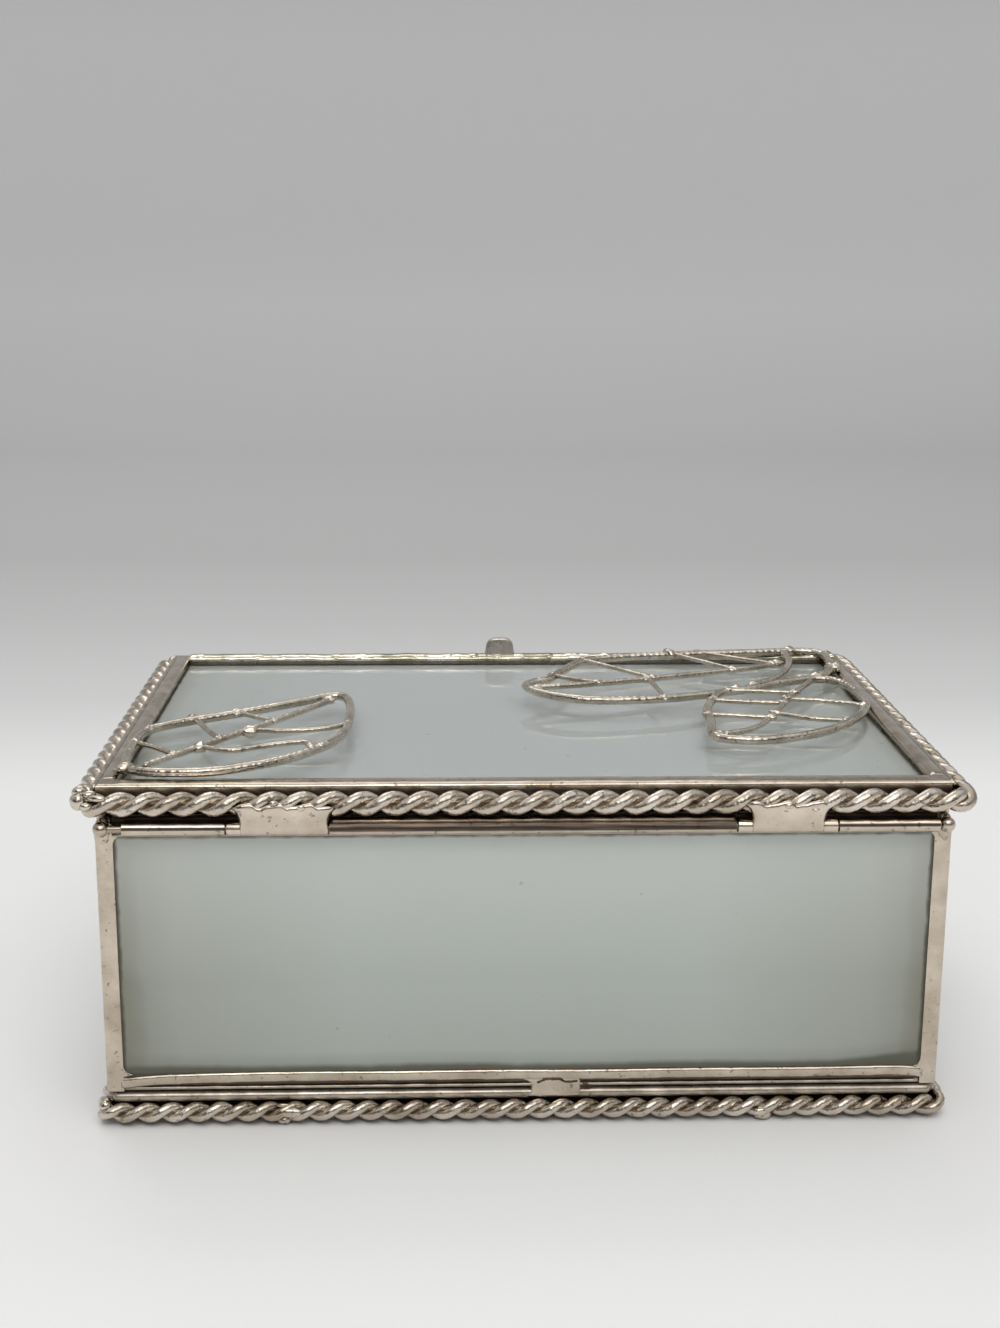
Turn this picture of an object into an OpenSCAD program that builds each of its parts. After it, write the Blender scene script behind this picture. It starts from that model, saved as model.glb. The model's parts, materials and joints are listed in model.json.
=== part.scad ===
// Glass keepsake casket: four glass walls, a floor and a lid of glass held in soldered
// channel, twisted wire rope round the lid and the base, three wire leaves on the lid,
// and a tube-and-rod hinge along the top of the back wall.
// Millimetres. +Z is up and the lid opens at +Y. The origin is the middle of the
// footprint, on the surface that the feet stand on.

/* [Box] */
// Width across the corner posts
box_w = 150; // [120:1:200]
// Depth across the corner posts
box_d = 100; // [85:1:150]
// Height of the walls, from the base channel to the top rails
wall_h = 51.9; // [35:0.1:80]
// Thickness of every glass panel
glass_t = 2; // [1.6:0.1:2.4]
// Clearance between a glass panel and the metal that holds it
glass_gap = 0.05; // [0.02:0.01:0.1]

/* [Posts and rails] */
// Width of a corner post's face
post_w = 3.2; // [2.8:0.1:4]
// Radius of a post's outer edge
post_edge_r = 1.1; // [0.5:0.1:1.4]
// Radius of a post's rounded shoulder
post_shoulder_r = 2.6; // [1:0.1:2.8]
// Width of the solder between the two grooves of a post
post_neck = 0.5; // [0.3:0.05:0.6]
// How far the posts stop short of the top of the walls
post_drop = 0.3; // [0.1:0.1:0.8]
// How far the glass is set back from the faces of the posts and rails
glass_setback = 0.3; // [0.15:0.05:0.4]
// Height of a top rail
top_rail_h = 3.8; // [2.5:0.1:5]
// Thickness of a top rail over the glass edge
top_rail_cap = 1.8; // [1.6:0.1:2.4]
// Height of the solder ledge along the bottom of the back top rail, under the hinge
ledge_h = 0.5; // [0.3:0.05:0.6]
// How far the ledge stands out from the rail
ledge_proud = 0.5; // [0.2:0.05:0.6]
// Height of the bead of a bottom rail
bottom_bead_h = 2.05; // [1.5:0.05:3]
// Height of the crease under that bead
crease_h = 0.7; // [0.4:0.1:1.2]
// Depth of the crease
crease_d = 0.6; // [0.3:0.1:1]
// Metal under the glass edge in a bottom rail
bottom_rail_cap = 0.5; // [0.3:0.1:0.8]
// Gap between a rail's end and its post, and between mitred ends
end_gap = 0.03; // [0.02:0.01:0.1]

/* [Channel] */
// Height of the channel that edges the base and the lid
came_h = 5; // [4.4:0.1:6]
// Width of the channel's flanges
came_flange = 4; // [3:0.1:5]
// Width of the lid channel's flanges at the left and right
lid_side_flange = 3; // [2:0.1:5]
// Thickness of the channel's outer web
came_web = 1; // [0.8:0.1:1.5]
// Radius of the channel's edges
came_edge_r = 0.65; // [0.3:0.05:0.9]
// How much narrower the lid's channel is than the box, on each side
lid_inset = 0.5; // [0.2:0.1:1]
// How much narrower the base's channel is than the box, on each side
base_inset = 1.4; // [0.5:0.1:2]
// Height of the base channel's underside
base_z = 1.4; // [1:0.1:2]
// Gap between the closed lid and the top rails
lid_rest_gap = 0.3; // [0.1:0.05:0.5]

/* [Rope] */
// Diameter of the lid's rope
lid_rope_d = 4.3; // [3.5:0.1:5]
// Length of one full turn of the lid's rope
lid_rope_pitch = 10.3; // [8:0.1:14]
// Height of the lid rope's middle above the lid channel's underside
lid_rope_rise = 2.5; // [2.2:0.1:2.8]
// Diameter of the base's rope
base_rope_d = 3.6; // [3:0.1:4.5]
// Length of one full turn of the base's rope
base_rope_pitch = 8.8; // [7:0.1:12]
// Clearance between a rope and the channel that it is soldered to
rope_gap = 0.05; // [0.03:0.01:0.2]
// Height of the valley between the two strands, as a share of a strand's width
rope_valley = 0.38; // [0.3:0.01:0.5]

/* [Feet] */
// Distance of a foot from the middle, along the back or front
foot_x = 43.3; // [20:0.1:55]
// Height of a foot, which lifts the base rope off the table
foot_h = 1.05; // [0.6:0.05:2]
// Diameter of a foot where it meets the rope
foot_top_d = 3.4; // [2.5:0.1:4]
// Diameter of a foot's flat underside
foot_bottom_d = 2; // [1:0.1:3]

/* [Solder tacks] */
// Distance of a tack's middle from the middle of its side
tack_x = 6.5; // [0:0.5:15]
// Length of a tack
tack_l = 11; // [5:0.5:20]
// How far a tack runs down the face of the base channel
tack_drop = 1; // [0.5:0.1:1.4]
// How far a tack stays behind the face of the rail
tack_setback = 0.1; // [0:0.05:0.3]

/* [Hinge] */
// Outer diameter of the hinge tubes and knuckles
tube_d = 2.6; // [2.2:0.1:3.2]
// Diameter of the hinge rod
rod_d = 1.4; // [1:0.1:1.8]
// Radial clearance of the rod in the tubes
rod_gap = 0.05; // [0.02:0.01:0.1]
// Gap between the hinge tubes and the back rail
tube_standoff = 0.3; // [0.2:0.05:0.6]
// Depth of the hinge axis below the top of the walls
hinge_drop = 2; // [1.8:0.1:3]
// Distance from the left side of the box to the left tube
hinge_left_margin = 5.3; // [4:0.1:12]
// Distance from the right side of the box to the right tube
hinge_right_margin = 3.1; // [2:0.1:12]
// Length of each outer tube
outer_tube_l = 17.6; // [10:0.1:25]
// Length of each knuckle on the lid
knuckle_l = 17.5; // [10:0.1:25]
// Gap between neighbouring tubes
tube_gap = 0.25; // [0.1:0.05:0.6]
// Thickness of the straps that join the knuckles to the lid
strap_t = 0.6; // [0.5:0.1:1.2]
// Width of the left strap
left_strap_w = 15; // [8:0.1:17]
// Width of the right strap
right_strap_w = 12.4; // [8:0.1:17]
// Clearance between a strap and the lid's rope
strap_gap = 0.1; // [0.05:0.05:0.3]
// Diameter of the solder beads at the ends of the rod
rod_bead_d = 2.8; // [2.2:0.1:3.2]

/* [Leaves] */
// Diameter of the leaves' outline wire
outline_d = 1.7; // [1.2:0.1:2.2]
// Diameter of the leaves' midribs
midrib_d = 1.2; // [0.8:0.1:1.6]
// Diameter of the leaves' veins
vein_d = 1; // [0.6:0.1:1.2]
// Clearance between wires that are soldered to each other
wire_gap = 0.05; // [0.03:0.01:0.2]
// How far a leaf rises for each millimetre from the side of the lid
leaf_slope = 0.023; // [0:0.001:0.04]

/* [Thumb tab] */
// Place of the tab along the front of the lid
tab_x = -1.7; // [-20:0.1:20]
// Width of the tab at its foot
tab_w = 6.8; // [4:0.1:10]
// Width of the tab at its top
tab_top_w = 5.6; // [3:0.1:9]
// Height of the tab above the channel
tab_h = 4.2; // [2:0.1:6]
// Thickness of the tab
tab_t = 0.8; // [0.5:0.1:1.2]

/* [Hidden] */
$fn = 48;

silver = [0.72, 0.68, 0.62];
silver_dark = [0.5, 0.48, 0.44];
pale_glass = [0.68, 0.72, 0.69, 0.6];

// Heights
wall_z = base_z + came_h;
wall_top = wall_z + wall_h;
lid_z = wall_top + lid_rest_gap;
lid_top = lid_z + came_h;
bottom_rail_h = crease_h + bottom_bead_h;
wall_glass_z0 = wall_z + crease_h + bottom_rail_cap + glass_gap;
wall_glass_z1 = wall_top - top_rail_cap - glass_gap;

// Plan sizes, from the middle out
half_w = box_w / 2;
half_d = box_d / 2;
corner_fill = glass_setback + glass_t;
lid_half_w = half_w - lid_inset;
lid_half_d = half_d - lid_inset;
base_half_w = half_w - base_inset;
base_half_d = half_d - base_inset;
groove_w = glass_t + 2 * glass_gap;

// Ropes
lid_rope_off = lid_rope_d / 2 + rope_gap;
base_rope_off = base_rope_d / 2 + rope_gap;
lid_rope_z = lid_z + lid_rope_rise;
base_rope_z = foot_h + wire_gap + base_rope_d / 2;

// Hinge
tube_r = tube_d / 2;
hinge_y = -half_d - tube_standoff - tube_r;
hinge_z = wall_top - hinge_drop;
tube_x0 = -half_w + hinge_left_margin;
tube_x5 = half_w - hinge_right_margin;
left_knuckle_x = tube_x0 + outer_tube_l + tube_gap;
right_knuckle_x = tube_x5 - outer_tube_l - tube_gap - knuckle_l;
centre_tube_x = left_knuckle_x + knuckle_l + tube_gap;
centre_tube_l = right_knuckle_x - tube_gap - centre_tube_x;
bead_x = half_w - post_w / 2;
rod_x0 = -bead_x;
rod_x1 = bead_x;

// ---------- shared shapes ----------

// A w by h rectangle with its corner at (0, h) rounded, or also the one at (0, 0)
module one_edge_round(w, h, r, both = false) {
    translate([r, 0]) square([w - r, h]);
    translate([0, both ? r : 0]) square([w, h - (both ? 2 : 1) * r]);
    translate([r, h - r]) circle(r);
    if (both) translate([r, r]) circle(r);
}

// A w by h rectangle with all four corners rounded
module all_edges_round(w, h, r) {
    translate([r, 0]) square([w - 2 * r, h]);
    translate([0, r]) square([w, h - 2 * r]);
    for (x = [r, w - r], y = [r, h - r]) translate([x, y]) circle(r);
}

// Stands a profile up along X: its x becomes +Y (into the box) and its y becomes +Z
module along_x(length) {
    translate([-length / 2, 0, 0]) rotate([90, 0, 90]) linear_extrude(length) children();
}

// Puts a piece made for the back, with its outer face on y = 0, on one of the four sides
module on_side(side, w, d) {
    turn = side == "back" ? 0 : side == "right" ? 90 : side == "front" ? 180 : 270;
    reach = (side == "back" || side == "front") ? d : w;
    rotate([0, 0, turn]) translate([0, -reach, 0]) children();
}

// ---------- glass ----------

module wall_panel(side) {
    span = (side == "back" || side == "front") ? half_w : half_d;
    neck = span == half_w ? post_neck : 0;
    width = 2 * (span - corner_fill - neck - glass_gap);
    color(pale_glass) on_side(side, half_w, half_d)
        translate([-width / 2, glass_setback, wall_glass_z0])
            cube([width, glass_t, wall_glass_z1 - wall_glass_z0]);
}

module flat_panel(w, d, z) {
    reach = came_web + glass_gap;
    color(pale_glass) translate([-w + reach, -d + reach, z + (came_h - glass_t) / 2])
        cube([2 * (w - reach), 2 * (d - reach), glass_t]);
}

// ---------- channel ----------

module came_profile(flange) {
    difference() {
        all_edges_round(flange, came_h, came_edge_r);
        translate([came_web, (came_h - groove_w) / 2]) square([flange, groove_w]);
    }
}

// One mitred length of channel, with its outer face at y = 0. The mitre runs from the
// outer corner to the corner where its flange meets its neighbour's.
module came_length(half, flange, next_flange) {
    intersection() {
        along_x(2 * half) came_profile(flange);
        translate([0, 0, -1]) linear_extrude(came_h + 2) polygon([
            [-half + end_gap, 0], [half - end_gap, 0],
            [half - end_gap - next_flange, flange],
            [-half + end_gap + next_flange, flange]
        ]);
    }
}

module came(side, w, d, z, side_flange) {
    long = side == "back" || side == "front";
    color(silver) translate([0, 0, z]) on_side(side, w, d)
        came_length(long ? w : d, long ? came_flange : side_flange,
            long ? side_flange : came_flange);
}

module base_came(side) { came(side, base_half_w, base_half_d, base_z, came_flange); }

module lid_came(side) { came(side, lid_half_w, lid_half_d, lid_z, lid_side_flange); }

// ---------- posts and rails ----------

// Corner post at the back left, with a groove for each of its two panels. Between the
// grooves a neck of solder joins the outer corner to the inner one.
module post_outline() {
    difference() {
        square(post_w);
        difference() {
            square(post_edge_r);
            translate([post_edge_r, post_edge_r]) circle(post_edge_r);
        }
        translate([corner_fill + post_neck, glass_setback - glass_gap])
            square([post_w, groove_w]);
        translate([glass_setback - glass_gap, corner_fill]) square([groove_w, post_w]);
    }
}

module post(sx, sy) {
    h = wall_h - post_drop;
    color(silver) translate([sx * half_w, sy * half_d, wall_z])
        mirror([sx > 0 ? 1 : 0, 0, 0]) mirror([0, sy > 0 ? 1 : 0, 0])
            intersection() {
                linear_extrude(h) post_outline();
                translate([0, post_w + 1, 0]) rotate([90, 0, 0])
                    linear_extrude(post_w + 2) one_edge_round(post_w, h, post_shoulder_r);
                rotate([90, 0, 90]) translate([0, 0, -1])
                    linear_extrude(post_w + 2) one_edge_round(post_w, h, post_shoulder_r);
            }
}

module bottom_rail(side) {
    span = (side == "back" || side == "front") ? half_w : half_d;
    color(silver) translate([0, 0, wall_z]) on_side(side, half_w, half_d)
        along_x(2 * (span - post_w - end_gap))
            difference() {
                union() {
                    translate([crease_d, 0]) square([post_w - crease_d, crease_h]);
                    translate([0, crease_h])
                        one_edge_round(post_w, bottom_bead_h, bottom_bead_h * 0.42, true);
                }
                translate([glass_setback - glass_gap, crease_h + bottom_rail_cap])
                    square([groove_w, bottom_rail_h]);
            }
}

module top_rail(side) {
    span = (side == "back" || side == "front") ? half_w : half_d;
    color(silver) translate([0, 0, wall_top - top_rail_h]) on_side(side, half_w, half_d)
        along_x(2 * (span - post_w - end_gap))
            difference() {
                union() {
                    one_edge_round(post_w, top_rail_h, post_edge_r);
                    if (side == "back") translate([0, ledge_h / 2]) {
                        translate([-ledge_proud + ledge_h / 2, 0]) circle(ledge_h / 2);
                        translate([-ledge_proud + ledge_h / 2, -ledge_h / 2])
                            square([ledge_proud, ledge_h]);
                    }
                }
                translate([glass_setback - glass_gap, -1])
                    square([groove_w, top_rail_h - top_rail_cap + 1]);
            }
}

// Short runs of solder that fill the creases and tie the walls to the base channel
module solder_tacks() {
    color(silver_dark) for (side = ["back", "right", "front", "left"])
        translate([0, 0, wall_z + end_gap]) on_side(side, half_w, half_d)
            translate([tack_x, 0, 0]) along_x(tack_l) polygon([
                [tack_setback, -tack_drop / 2], [base_inset - end_gap, -tack_drop],
                [base_inset - end_gap, -2 * end_gap], [crease_d - end_gap, -2 * end_gap],
                [crease_d - end_gap, crease_h - 2 * end_gap],
                [tack_setback, crease_h - 2 * end_gap]
            ]);
}

module foot(sx, sy) {
    color(silver) translate([sx * foot_x, sy * (base_half_d + base_rope_off), 0])
        rotate_extrude() polygon([
            [0, 0], [foot_bottom_d / 2, 0], [foot_top_d / 2, foot_h * 0.6],
            [foot_top_d / 2, foot_h], [0, foot_h]
        ]);
}

// ---------- twisted wire rope ----------

// Half the outline of two wires side by side, as [angle, radius over the strand radius]
strand_outline = [[0, 2], [42, 2 * cos(42)], [90, 2 * rope_valley], [138, 2 * cos(42)]];
rope_outline = concat(strand_outline, [for (p = strand_outline) [p[0] + 180, p[1]]]);

// Length of a rope's middle line round a rectangle, and the point at distance s along it
// as [x, y, heading]. It starts at the middle of the back and runs towards +X.
function loop_length(w, d, r) = 4 * (w - r) + 4 * (d - r) + 2 * PI * r;
function loop_point(s, w, d, r) =
    let (
        a = w - r, b = d - r, q = PI * r / 2,
        legs = [a, q, 2 * b, q, 2 * a, q, 2 * b, q, a],
        ends = [for (i = 0, t = 0; i < 9; t = t + legs[i], i = i + 1) t + legs[i]],
        k = [for (i = [0:8]) if (s <= ends[i] + 0.0001) i][0],
        u = s - (ends[k] - legs[k]),
        centres = [[a, -b], [a, b], [-a, b], [-a, -b]],
        starts = [[0, -d], [w, -b], [a, d], [-w, b], [-a, -d]],
        heading = floor((k + 1) / 2) * 90
    )
    k % 2 == 0
        ? [starts[k / 2][0] + u * cos(heading), starts[k / 2][1] + u * sin(heading), heading]
        : let (c = centres[(k - 1) / 2], h = heading - 90 + u / q * 90)
            [c[0] + r * sin(h), c[1] - r * cos(h), h];

// Two strands twisted together, bent once round a rectangle and closed on itself
module rope_loop(w, d, off, z, diameter, pitch, rings_per_turn) {
    length = loop_length(w + off, d + off, off);
    turns = round(length / pitch);
    rings = turns * rings_per_turn;
    sides = len(rope_outline);
    strand_r = diameter / 4;
    points = [
        for (i = [0:rings - 1])
            let (
                p = loop_point(i * length / rings, w + off, d + off, off),
                twist = i * 360 / rings_per_turn
            )
            for (o = rope_outline)
                let (
                    out = strand_r * o[1] * cos(o[0] + twist),
                    up = strand_r * o[1] * sin(o[0] + twist)
                )
                [p[0] + out * sin(p[2]), p[1] - out * cos(p[2]), z + up]
    ];
    faces = [
        for (i = [0:rings - 1], j = [0:sides - 1])
            let (
                a = i * sides + j,
                b = i * sides + (j + 1) % sides,
                c = ((i + 1) % rings) * sides + (j + 1) % sides,
                e = ((i + 1) % rings) * sides + j
            )
            each [[a, b, c], [a, c, e]]
    ];
    polyhedron(points, faces);
}

module lid_rope() {
    color(silver) rope_loop(lid_half_w, lid_half_d, lid_rope_off, lid_rope_z,
        lid_rope_d, lid_rope_pitch, 7);
}

module base_rope() {
    color(silver) rope_loop(base_half_w, base_half_d, base_rope_off, base_rope_z,
        base_rope_d, base_rope_pitch, 6);
}

// ---------- hinge ----------

module tube_at(x, length, r) {
    translate([x, hinge_y, hinge_z]) rotate([0, 90, 0]) cylinder(h = length, r = r);
}

module rod_bore() {
    tube_at(rod_x0 - end_gap, rod_x1 - rod_x0 + 2 * end_gap, rod_d / 2 + rod_gap);
}

// A tube of the box: its solder pad meets the back rail's face
module box_tube(x, length) {
    pad_h = tube_d * 0.7;
    color(silver) difference() {
        union() {
            tube_at(x, length, tube_r);
            translate([x, hinge_y, hinge_z - pad_h / 2])
                cube([length, -half_d - end_gap - hinge_y, pad_h]);
        }
        rod_bore();
    }
}

// Side view of a strap: from the knuckle's outer side up over the front of the rope
module strap_profile() {
    rope_y = -(lid_half_d + lid_rope_off) - hinge_y;
    rope_up = lid_rope_z - hinge_z;
    face = rope_y - lid_rope_d / 2 - strap_gap;
    polygon([
        [-tube_r + strap_t, -tube_r * 0.2], [-tube_r + strap_t, tube_r * 0.4],
        [face, rope_up - lid_rope_d * 0.3], [face, rope_up],
        [face - strap_t, rope_up], [face - strap_t, rope_up - lid_rope_d * 0.35],
        [-tube_r, -tube_r * 0.2]
    ]);
}

module knuckle(x, strap_x, strap_w) {
    color(silver) difference() {
        union() {
            tube_at(x, knuckle_l, tube_r);
            translate([strap_x, hinge_y, hinge_z]) rotate([90, 0, 90])
                linear_extrude(strap_w) strap_profile();
        }
        rod_bore();
    }
}

module hinge_rod() {
    color(silver_dark) tube_at(rod_x0, rod_x1 - rod_x0, rod_d / 2);
}

// Solder bead that caps an end of the rod, against its post and the end of the outer tube
module rod_bead(sx) {
    color(silver) difference() {
        translate([sx * bead_x, hinge_y, hinge_z]) rotate([0, sx * 90, 0])
            rotate_extrude() difference() {
                intersection() {
                    circle(d = rod_bead_d);
                    translate([0, -rod_bead_d]) square([rod_bead_d, 2 * rod_bead_d]);
                }
                translate([0, -rod_bead_d])
                    square([rod_d / 2 + rod_gap, rod_bead_d + end_gap]);
            }
        translate([-half_w, -half_d - end_gap, hinge_z - rod_bead_d])
            cube([box_w, rod_bead_d, 2 * rod_bead_d]);
        translate([tube_x0 - end_gap, hinge_y - rod_bead_d, hinge_z - rod_bead_d])
            cube([tube_x5 - tube_x0 + 2 * end_gap, 2 * rod_bead_d, 2 * rod_bead_d]);
    }
}

// ---------- wire leaves ----------

// Height of a leaf's wire: on the lid's channel at the side, rising towards its tip
function leaf_z(x) =
    lid_top + wire_gap + outline_d / 2 + leaf_slope * max(0, lid_half_w - lid_side_flange - abs(x));

// Point t of a smooth curve through four neighbours, from the second to the third
function curve_point(a, b, c, d, t) =
    0.5 * (2 * b + (c - a) * t + (2 * a - 5 * b + 4 * c - d) * t * t
        + (3 * b - a - 3 * c + d) * t * t * t);

// A smooth line through the points, with n steps from each to the next
function smooth(p, n, closed) =
    let (m = len(p))
    closed
        ? [for (i = [0:m - 1], k = [0:n - 1])
            curve_point(p[(i + m - 1) % m], p[i], p[(i + 1) % m], p[(i + 2) % m], k / n)]
        : concat(
            [for (i = [0:m - 2], k = [0:n - 1])
                curve_point(p[max(i - 1, 0)], p[i], p[i + 1], p[min(i + 2, m - 1)], k / n)],
            [p[m - 1]]);

// Round wire along a line of points, with the given number of sides
module wire(line, diameter, sides, closed = false) {
    n = len(line);
    points = [
        for (i = [0:n - 1])
            let (
                before = closed ? line[(i + n - 1) % n] : line[max(i - 1, 0)],
                after = closed ? line[(i + 1) % n] : line[min(i + 1, n - 1)],
                run = after - before,
                across = [run[1], -run[0], 0] / norm([run[0], run[1]]),
                upward = cross(across, run) / norm(cross(across, run))
            )
            for (j = [0:sides - 1])
                let (a = 360 * (j + 0.5) / sides)
                line[i] + diameter / 2 * (cos(a) * across + sin(a) * upward)
    ];
    walls = [
        for (i = [0:n - (closed ? 1 : 2)], j = [0:sides - 1])
            let (
                a = i * sides + j,
                b = i * sides + (j + 1) % sides,
                c = ((i + 1) % n) * sides + (j + 1) % sides,
                e = ((i + 1) % n) * sides + j
            )
            each [[a, b, c], [a, c, e]]
    ];
    caps = closed ? [] : [
        [for (j = [sides - 1:-1:0]) j],
        [for (j = [0:sides - 1]) (n - 1) * sides + j]
    ];
    polyhedron(points, concat(walls, caps));
}

// Each leaf keeps its shape and place at its corner of the lid when the box changes size.
// Corner is -1 for the leaf at the back left and 1 for the two at the front right.
function place(plan, corner) =
    let (
        dx = corner * (lid_half_w - drawn_half_w),
        dy = corner * (lid_half_d - drawn_half_d)
    )
    [for (p = plan) [p[0] + dx, p[1] + dy]];

// All of a leaf's wires lie in its own plane, and the veins end just short of the wires
// that they are soldered to
module leaf_wire(plan, corner, diameter, steps, sides, closed = false) {
    line = [for (p = smooth(place(plan, corner), steps, closed)) [p[0], p[1], leaf_z(p[0])]];
    color(silver) wire(line, diameter, sides, closed);
}

// Half sizes of the lid's channel that the leaves' points are drawn on
drawn_half_w = 74.5;
drawn_half_d = 49.5;

left_outline = [
    [-71, -20], [-66, -13.5], [-55.5, -7.5], [-44, 0], [-36.5, 5], [-33.5, 1],
    [-32.5, -12], [-34, -27], [-41.5, -38.5], [-52, -45], [-60.5, -46], [-68.5, -44],
    [-71, -38]
];
left_midrib = [[-67, -41.5], [-61, -33], [-51.5, -20], [-44, -9.5], [-37.5, 0.5]];
left_veins = [
    [[-61.9, -12.1], [-58.5, -20.5], [-56.3, -24.9]],
    [[-53.8, -7.7], [-51, -10.5], [-47.7, -13.4]],
    [[-34.1, -18.8], [-36.5, -20.5], [-44, -21.5], [-50.5, -20.2]],
    [[-37.8, -31.8], [-40.5, -29.5], [-47, -31.5], [-53, -34], [-58.4, -30.9]],
    [[-70.1, -27.7], [-67, -30.5], [-63.5, -34.9]]
];
large_outline = [
    [39, 5], [33.5, 2.5], [25, 0], [16, -1], [9.5, 1], [4.5, 5], [2.5, 9.5],
    [4, 12.5], [7.5, 15.5], [10.5, 22.5], [16, 32.5], [24, 37], [38, 41], [57, 45],
    [66.5, 47], [71, 44.5], [71, 37], [69.5, 29], [66.5, 24]
];
large_stalk = [[62.5, 44.5], [62, 36.5], [59, 26.5], [54.5, 18.5], [51, 14.5]];
large_midrib = [[5, 8.5], [13.5, 11], [28, 17], [40.5, 23], [51, 28.5], [60, 34.5]];
large_veins = [
    [[17, 31.9], [22, 26.5], [28.8, 18.4]],
    [[37.6, 39.6], [41, 35.5], [47.4, 27.7]],
    [[44.9, 41.1], [49, 38.5], [56.8, 33.4]],
    [[29.9, 2.6], [29.5, 9], [28.6, 16.3]],
    [[9.7, 17.5], [13, 15], [16.1, 13.2]]
];
right_outline = [
    [64.5, 20.5], [55, 15.5], [48, 10], [42.5, 7], [40, 1.5], [37.5, -7], [37, -16],
    [36, -25], [39, -28], [46, -28], [56.5, -22.5], [65, -13], [70.5, -1],
    [71, 10], [69, 18.5]
];
right_midrib = [[38.5, -25], [44.5, -20.5], [50, -10.5], [56, 4], [63, 18]];
right_veins = [
    [[47.5, 8.1], [51.5, 7.8], [56.5, 7.1]],
    [[40.6, -0.2], [46, -1], [52.8, -1.5]],
    [[38.2, -11.6], [42.5, -12], [47.8, -12.8]],
    [[69.1, -1.6], [62.5, 1], [56.2, 1.9]],
    [[62.7, -13.9], [57, -13], [51.2, -9.9]]
];

module left_leaf_outline() { leaf_wire(left_outline, -1, outline_d, 3, 6, true); }
module left_leaf_midrib() { leaf_wire(left_midrib, -1, midrib_d, 2, 6); }
module left_leaf_veins() { for (v = left_veins) leaf_wire(v, -1, vein_d, 2, 5); }
module large_leaf_outline() { leaf_wire(large_outline, 1, outline_d, 3, 6); }
module large_leaf_stalk() { leaf_wire(large_stalk, 1, outline_d, 2, 6); }
module large_leaf_midrib() { leaf_wire(large_midrib, 1, midrib_d, 2, 6); }
module large_leaf_veins() { for (v = large_veins) leaf_wire(v, 1, vein_d, 2, 5); }
module right_leaf_outline() { leaf_wire(right_outline, 1, outline_d, 3, 6, true); }
module right_leaf_midrib() { leaf_wire(right_midrib, 1, midrib_d, 2, 6); }
module right_leaf_veins() { for (v = right_veins) leaf_wire(v, 1, vein_d, 2, 5); }

// ---------- thumb tab ----------

// A flat tab with rounded upper corners, on a low foot of solder
module thumb_tab() {
    r = 1.2;
    color(silver_dark) translate([tab_x, lid_half_d - came_edge_r - tab_t, lid_top + wire_gap]) {
        rotate([90, 0, 0]) linear_extrude(tab_t) union() {
            polygon([
                [-tab_w / 2, 0], [tab_w / 2, 0], [tab_top_w / 2, tab_h - r],
                [-tab_top_w / 2, tab_h - r]
            ]);
            translate([-tab_top_w / 2 + r, tab_h - r - 0.01]) square([tab_top_w - 2 * r, r + 0.01]);
            for (x = [-tab_top_w / 2 + r, tab_top_w / 2 - r]) translate([x, tab_h - r]) circle(r);
        }
        translate([-tab_w / 2, -2 * tab_t, 0]) cube([tab_w, 2.2 * tab_t, 0.5]);
    }
}

// ---------- nodes ----------

flat_panel(base_half_w, base_half_d, base_z);  // base_glass
base_came("back");  // base_came_back
base_came("front");  // base_came_front
base_came("left");  // base_came_left
base_came("right");  // base_came_right
base_rope();
foot(-1, -1);  // foot_back_left
foot(1, -1);  // foot_back_right
foot(-1, 1);  // foot_front_left
foot(1, 1);  // foot_front_right
wall_panel("back");  // wall_glass_back
wall_panel("front");  // wall_glass_front
wall_panel("left");  // wall_glass_left
wall_panel("right");  // wall_glass_right
post(-1, -1);  // post_back_left
post(1, -1);  // post_back_right
post(-1, 1);  // post_front_left
post(1, 1);  // post_front_right
bottom_rail("back");  // bottom_rail_back
bottom_rail("front");  // bottom_rail_front
bottom_rail("left");  // bottom_rail_left
bottom_rail("right");  // bottom_rail_right
top_rail("back");  // top_rail_back
top_rail("front");  // top_rail_front
top_rail("left");  // top_rail_left
top_rail("right");  // top_rail_right
solder_tacks();
box_tube(tube_x0, outer_tube_l);  // hinge_tube_left
box_tube(centre_tube_x, centre_tube_l);  // hinge_tube_centre
box_tube(tube_x5 - outer_tube_l, outer_tube_l);  // hinge_tube_right
hinge_rod();
rod_bead(-1);  // rod_bead_left
rod_bead(1);  // rod_bead_right
flat_panel(lid_half_w, lid_half_d, lid_z);  // lid_glass
lid_came("back");  // lid_came_back
lid_came("front");  // lid_came_front
lid_came("left");  // lid_came_left
lid_came("right");  // lid_came_right
lid_rope();
knuckle(left_knuckle_x, left_knuckle_x + knuckle_l - left_strap_w, left_strap_w);  // hinge_knuckle_left
knuckle(right_knuckle_x, right_knuckle_x + (knuckle_l - right_strap_w) / 2, right_strap_w);  // hinge_knuckle_right
thumb_tab();
left_leaf_outline();
left_leaf_midrib();
left_leaf_veins();
large_leaf_outline();
large_leaf_stalk();
large_leaf_midrib();
large_leaf_veins();
right_leaf_outline();
right_leaf_midrib();
right_leaf_veins();
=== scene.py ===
import json
import math
import random
from collections import namedtuple

import bpy
import numpy as np
from mathutils import Euler, Matrix, Vector, noise


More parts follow.
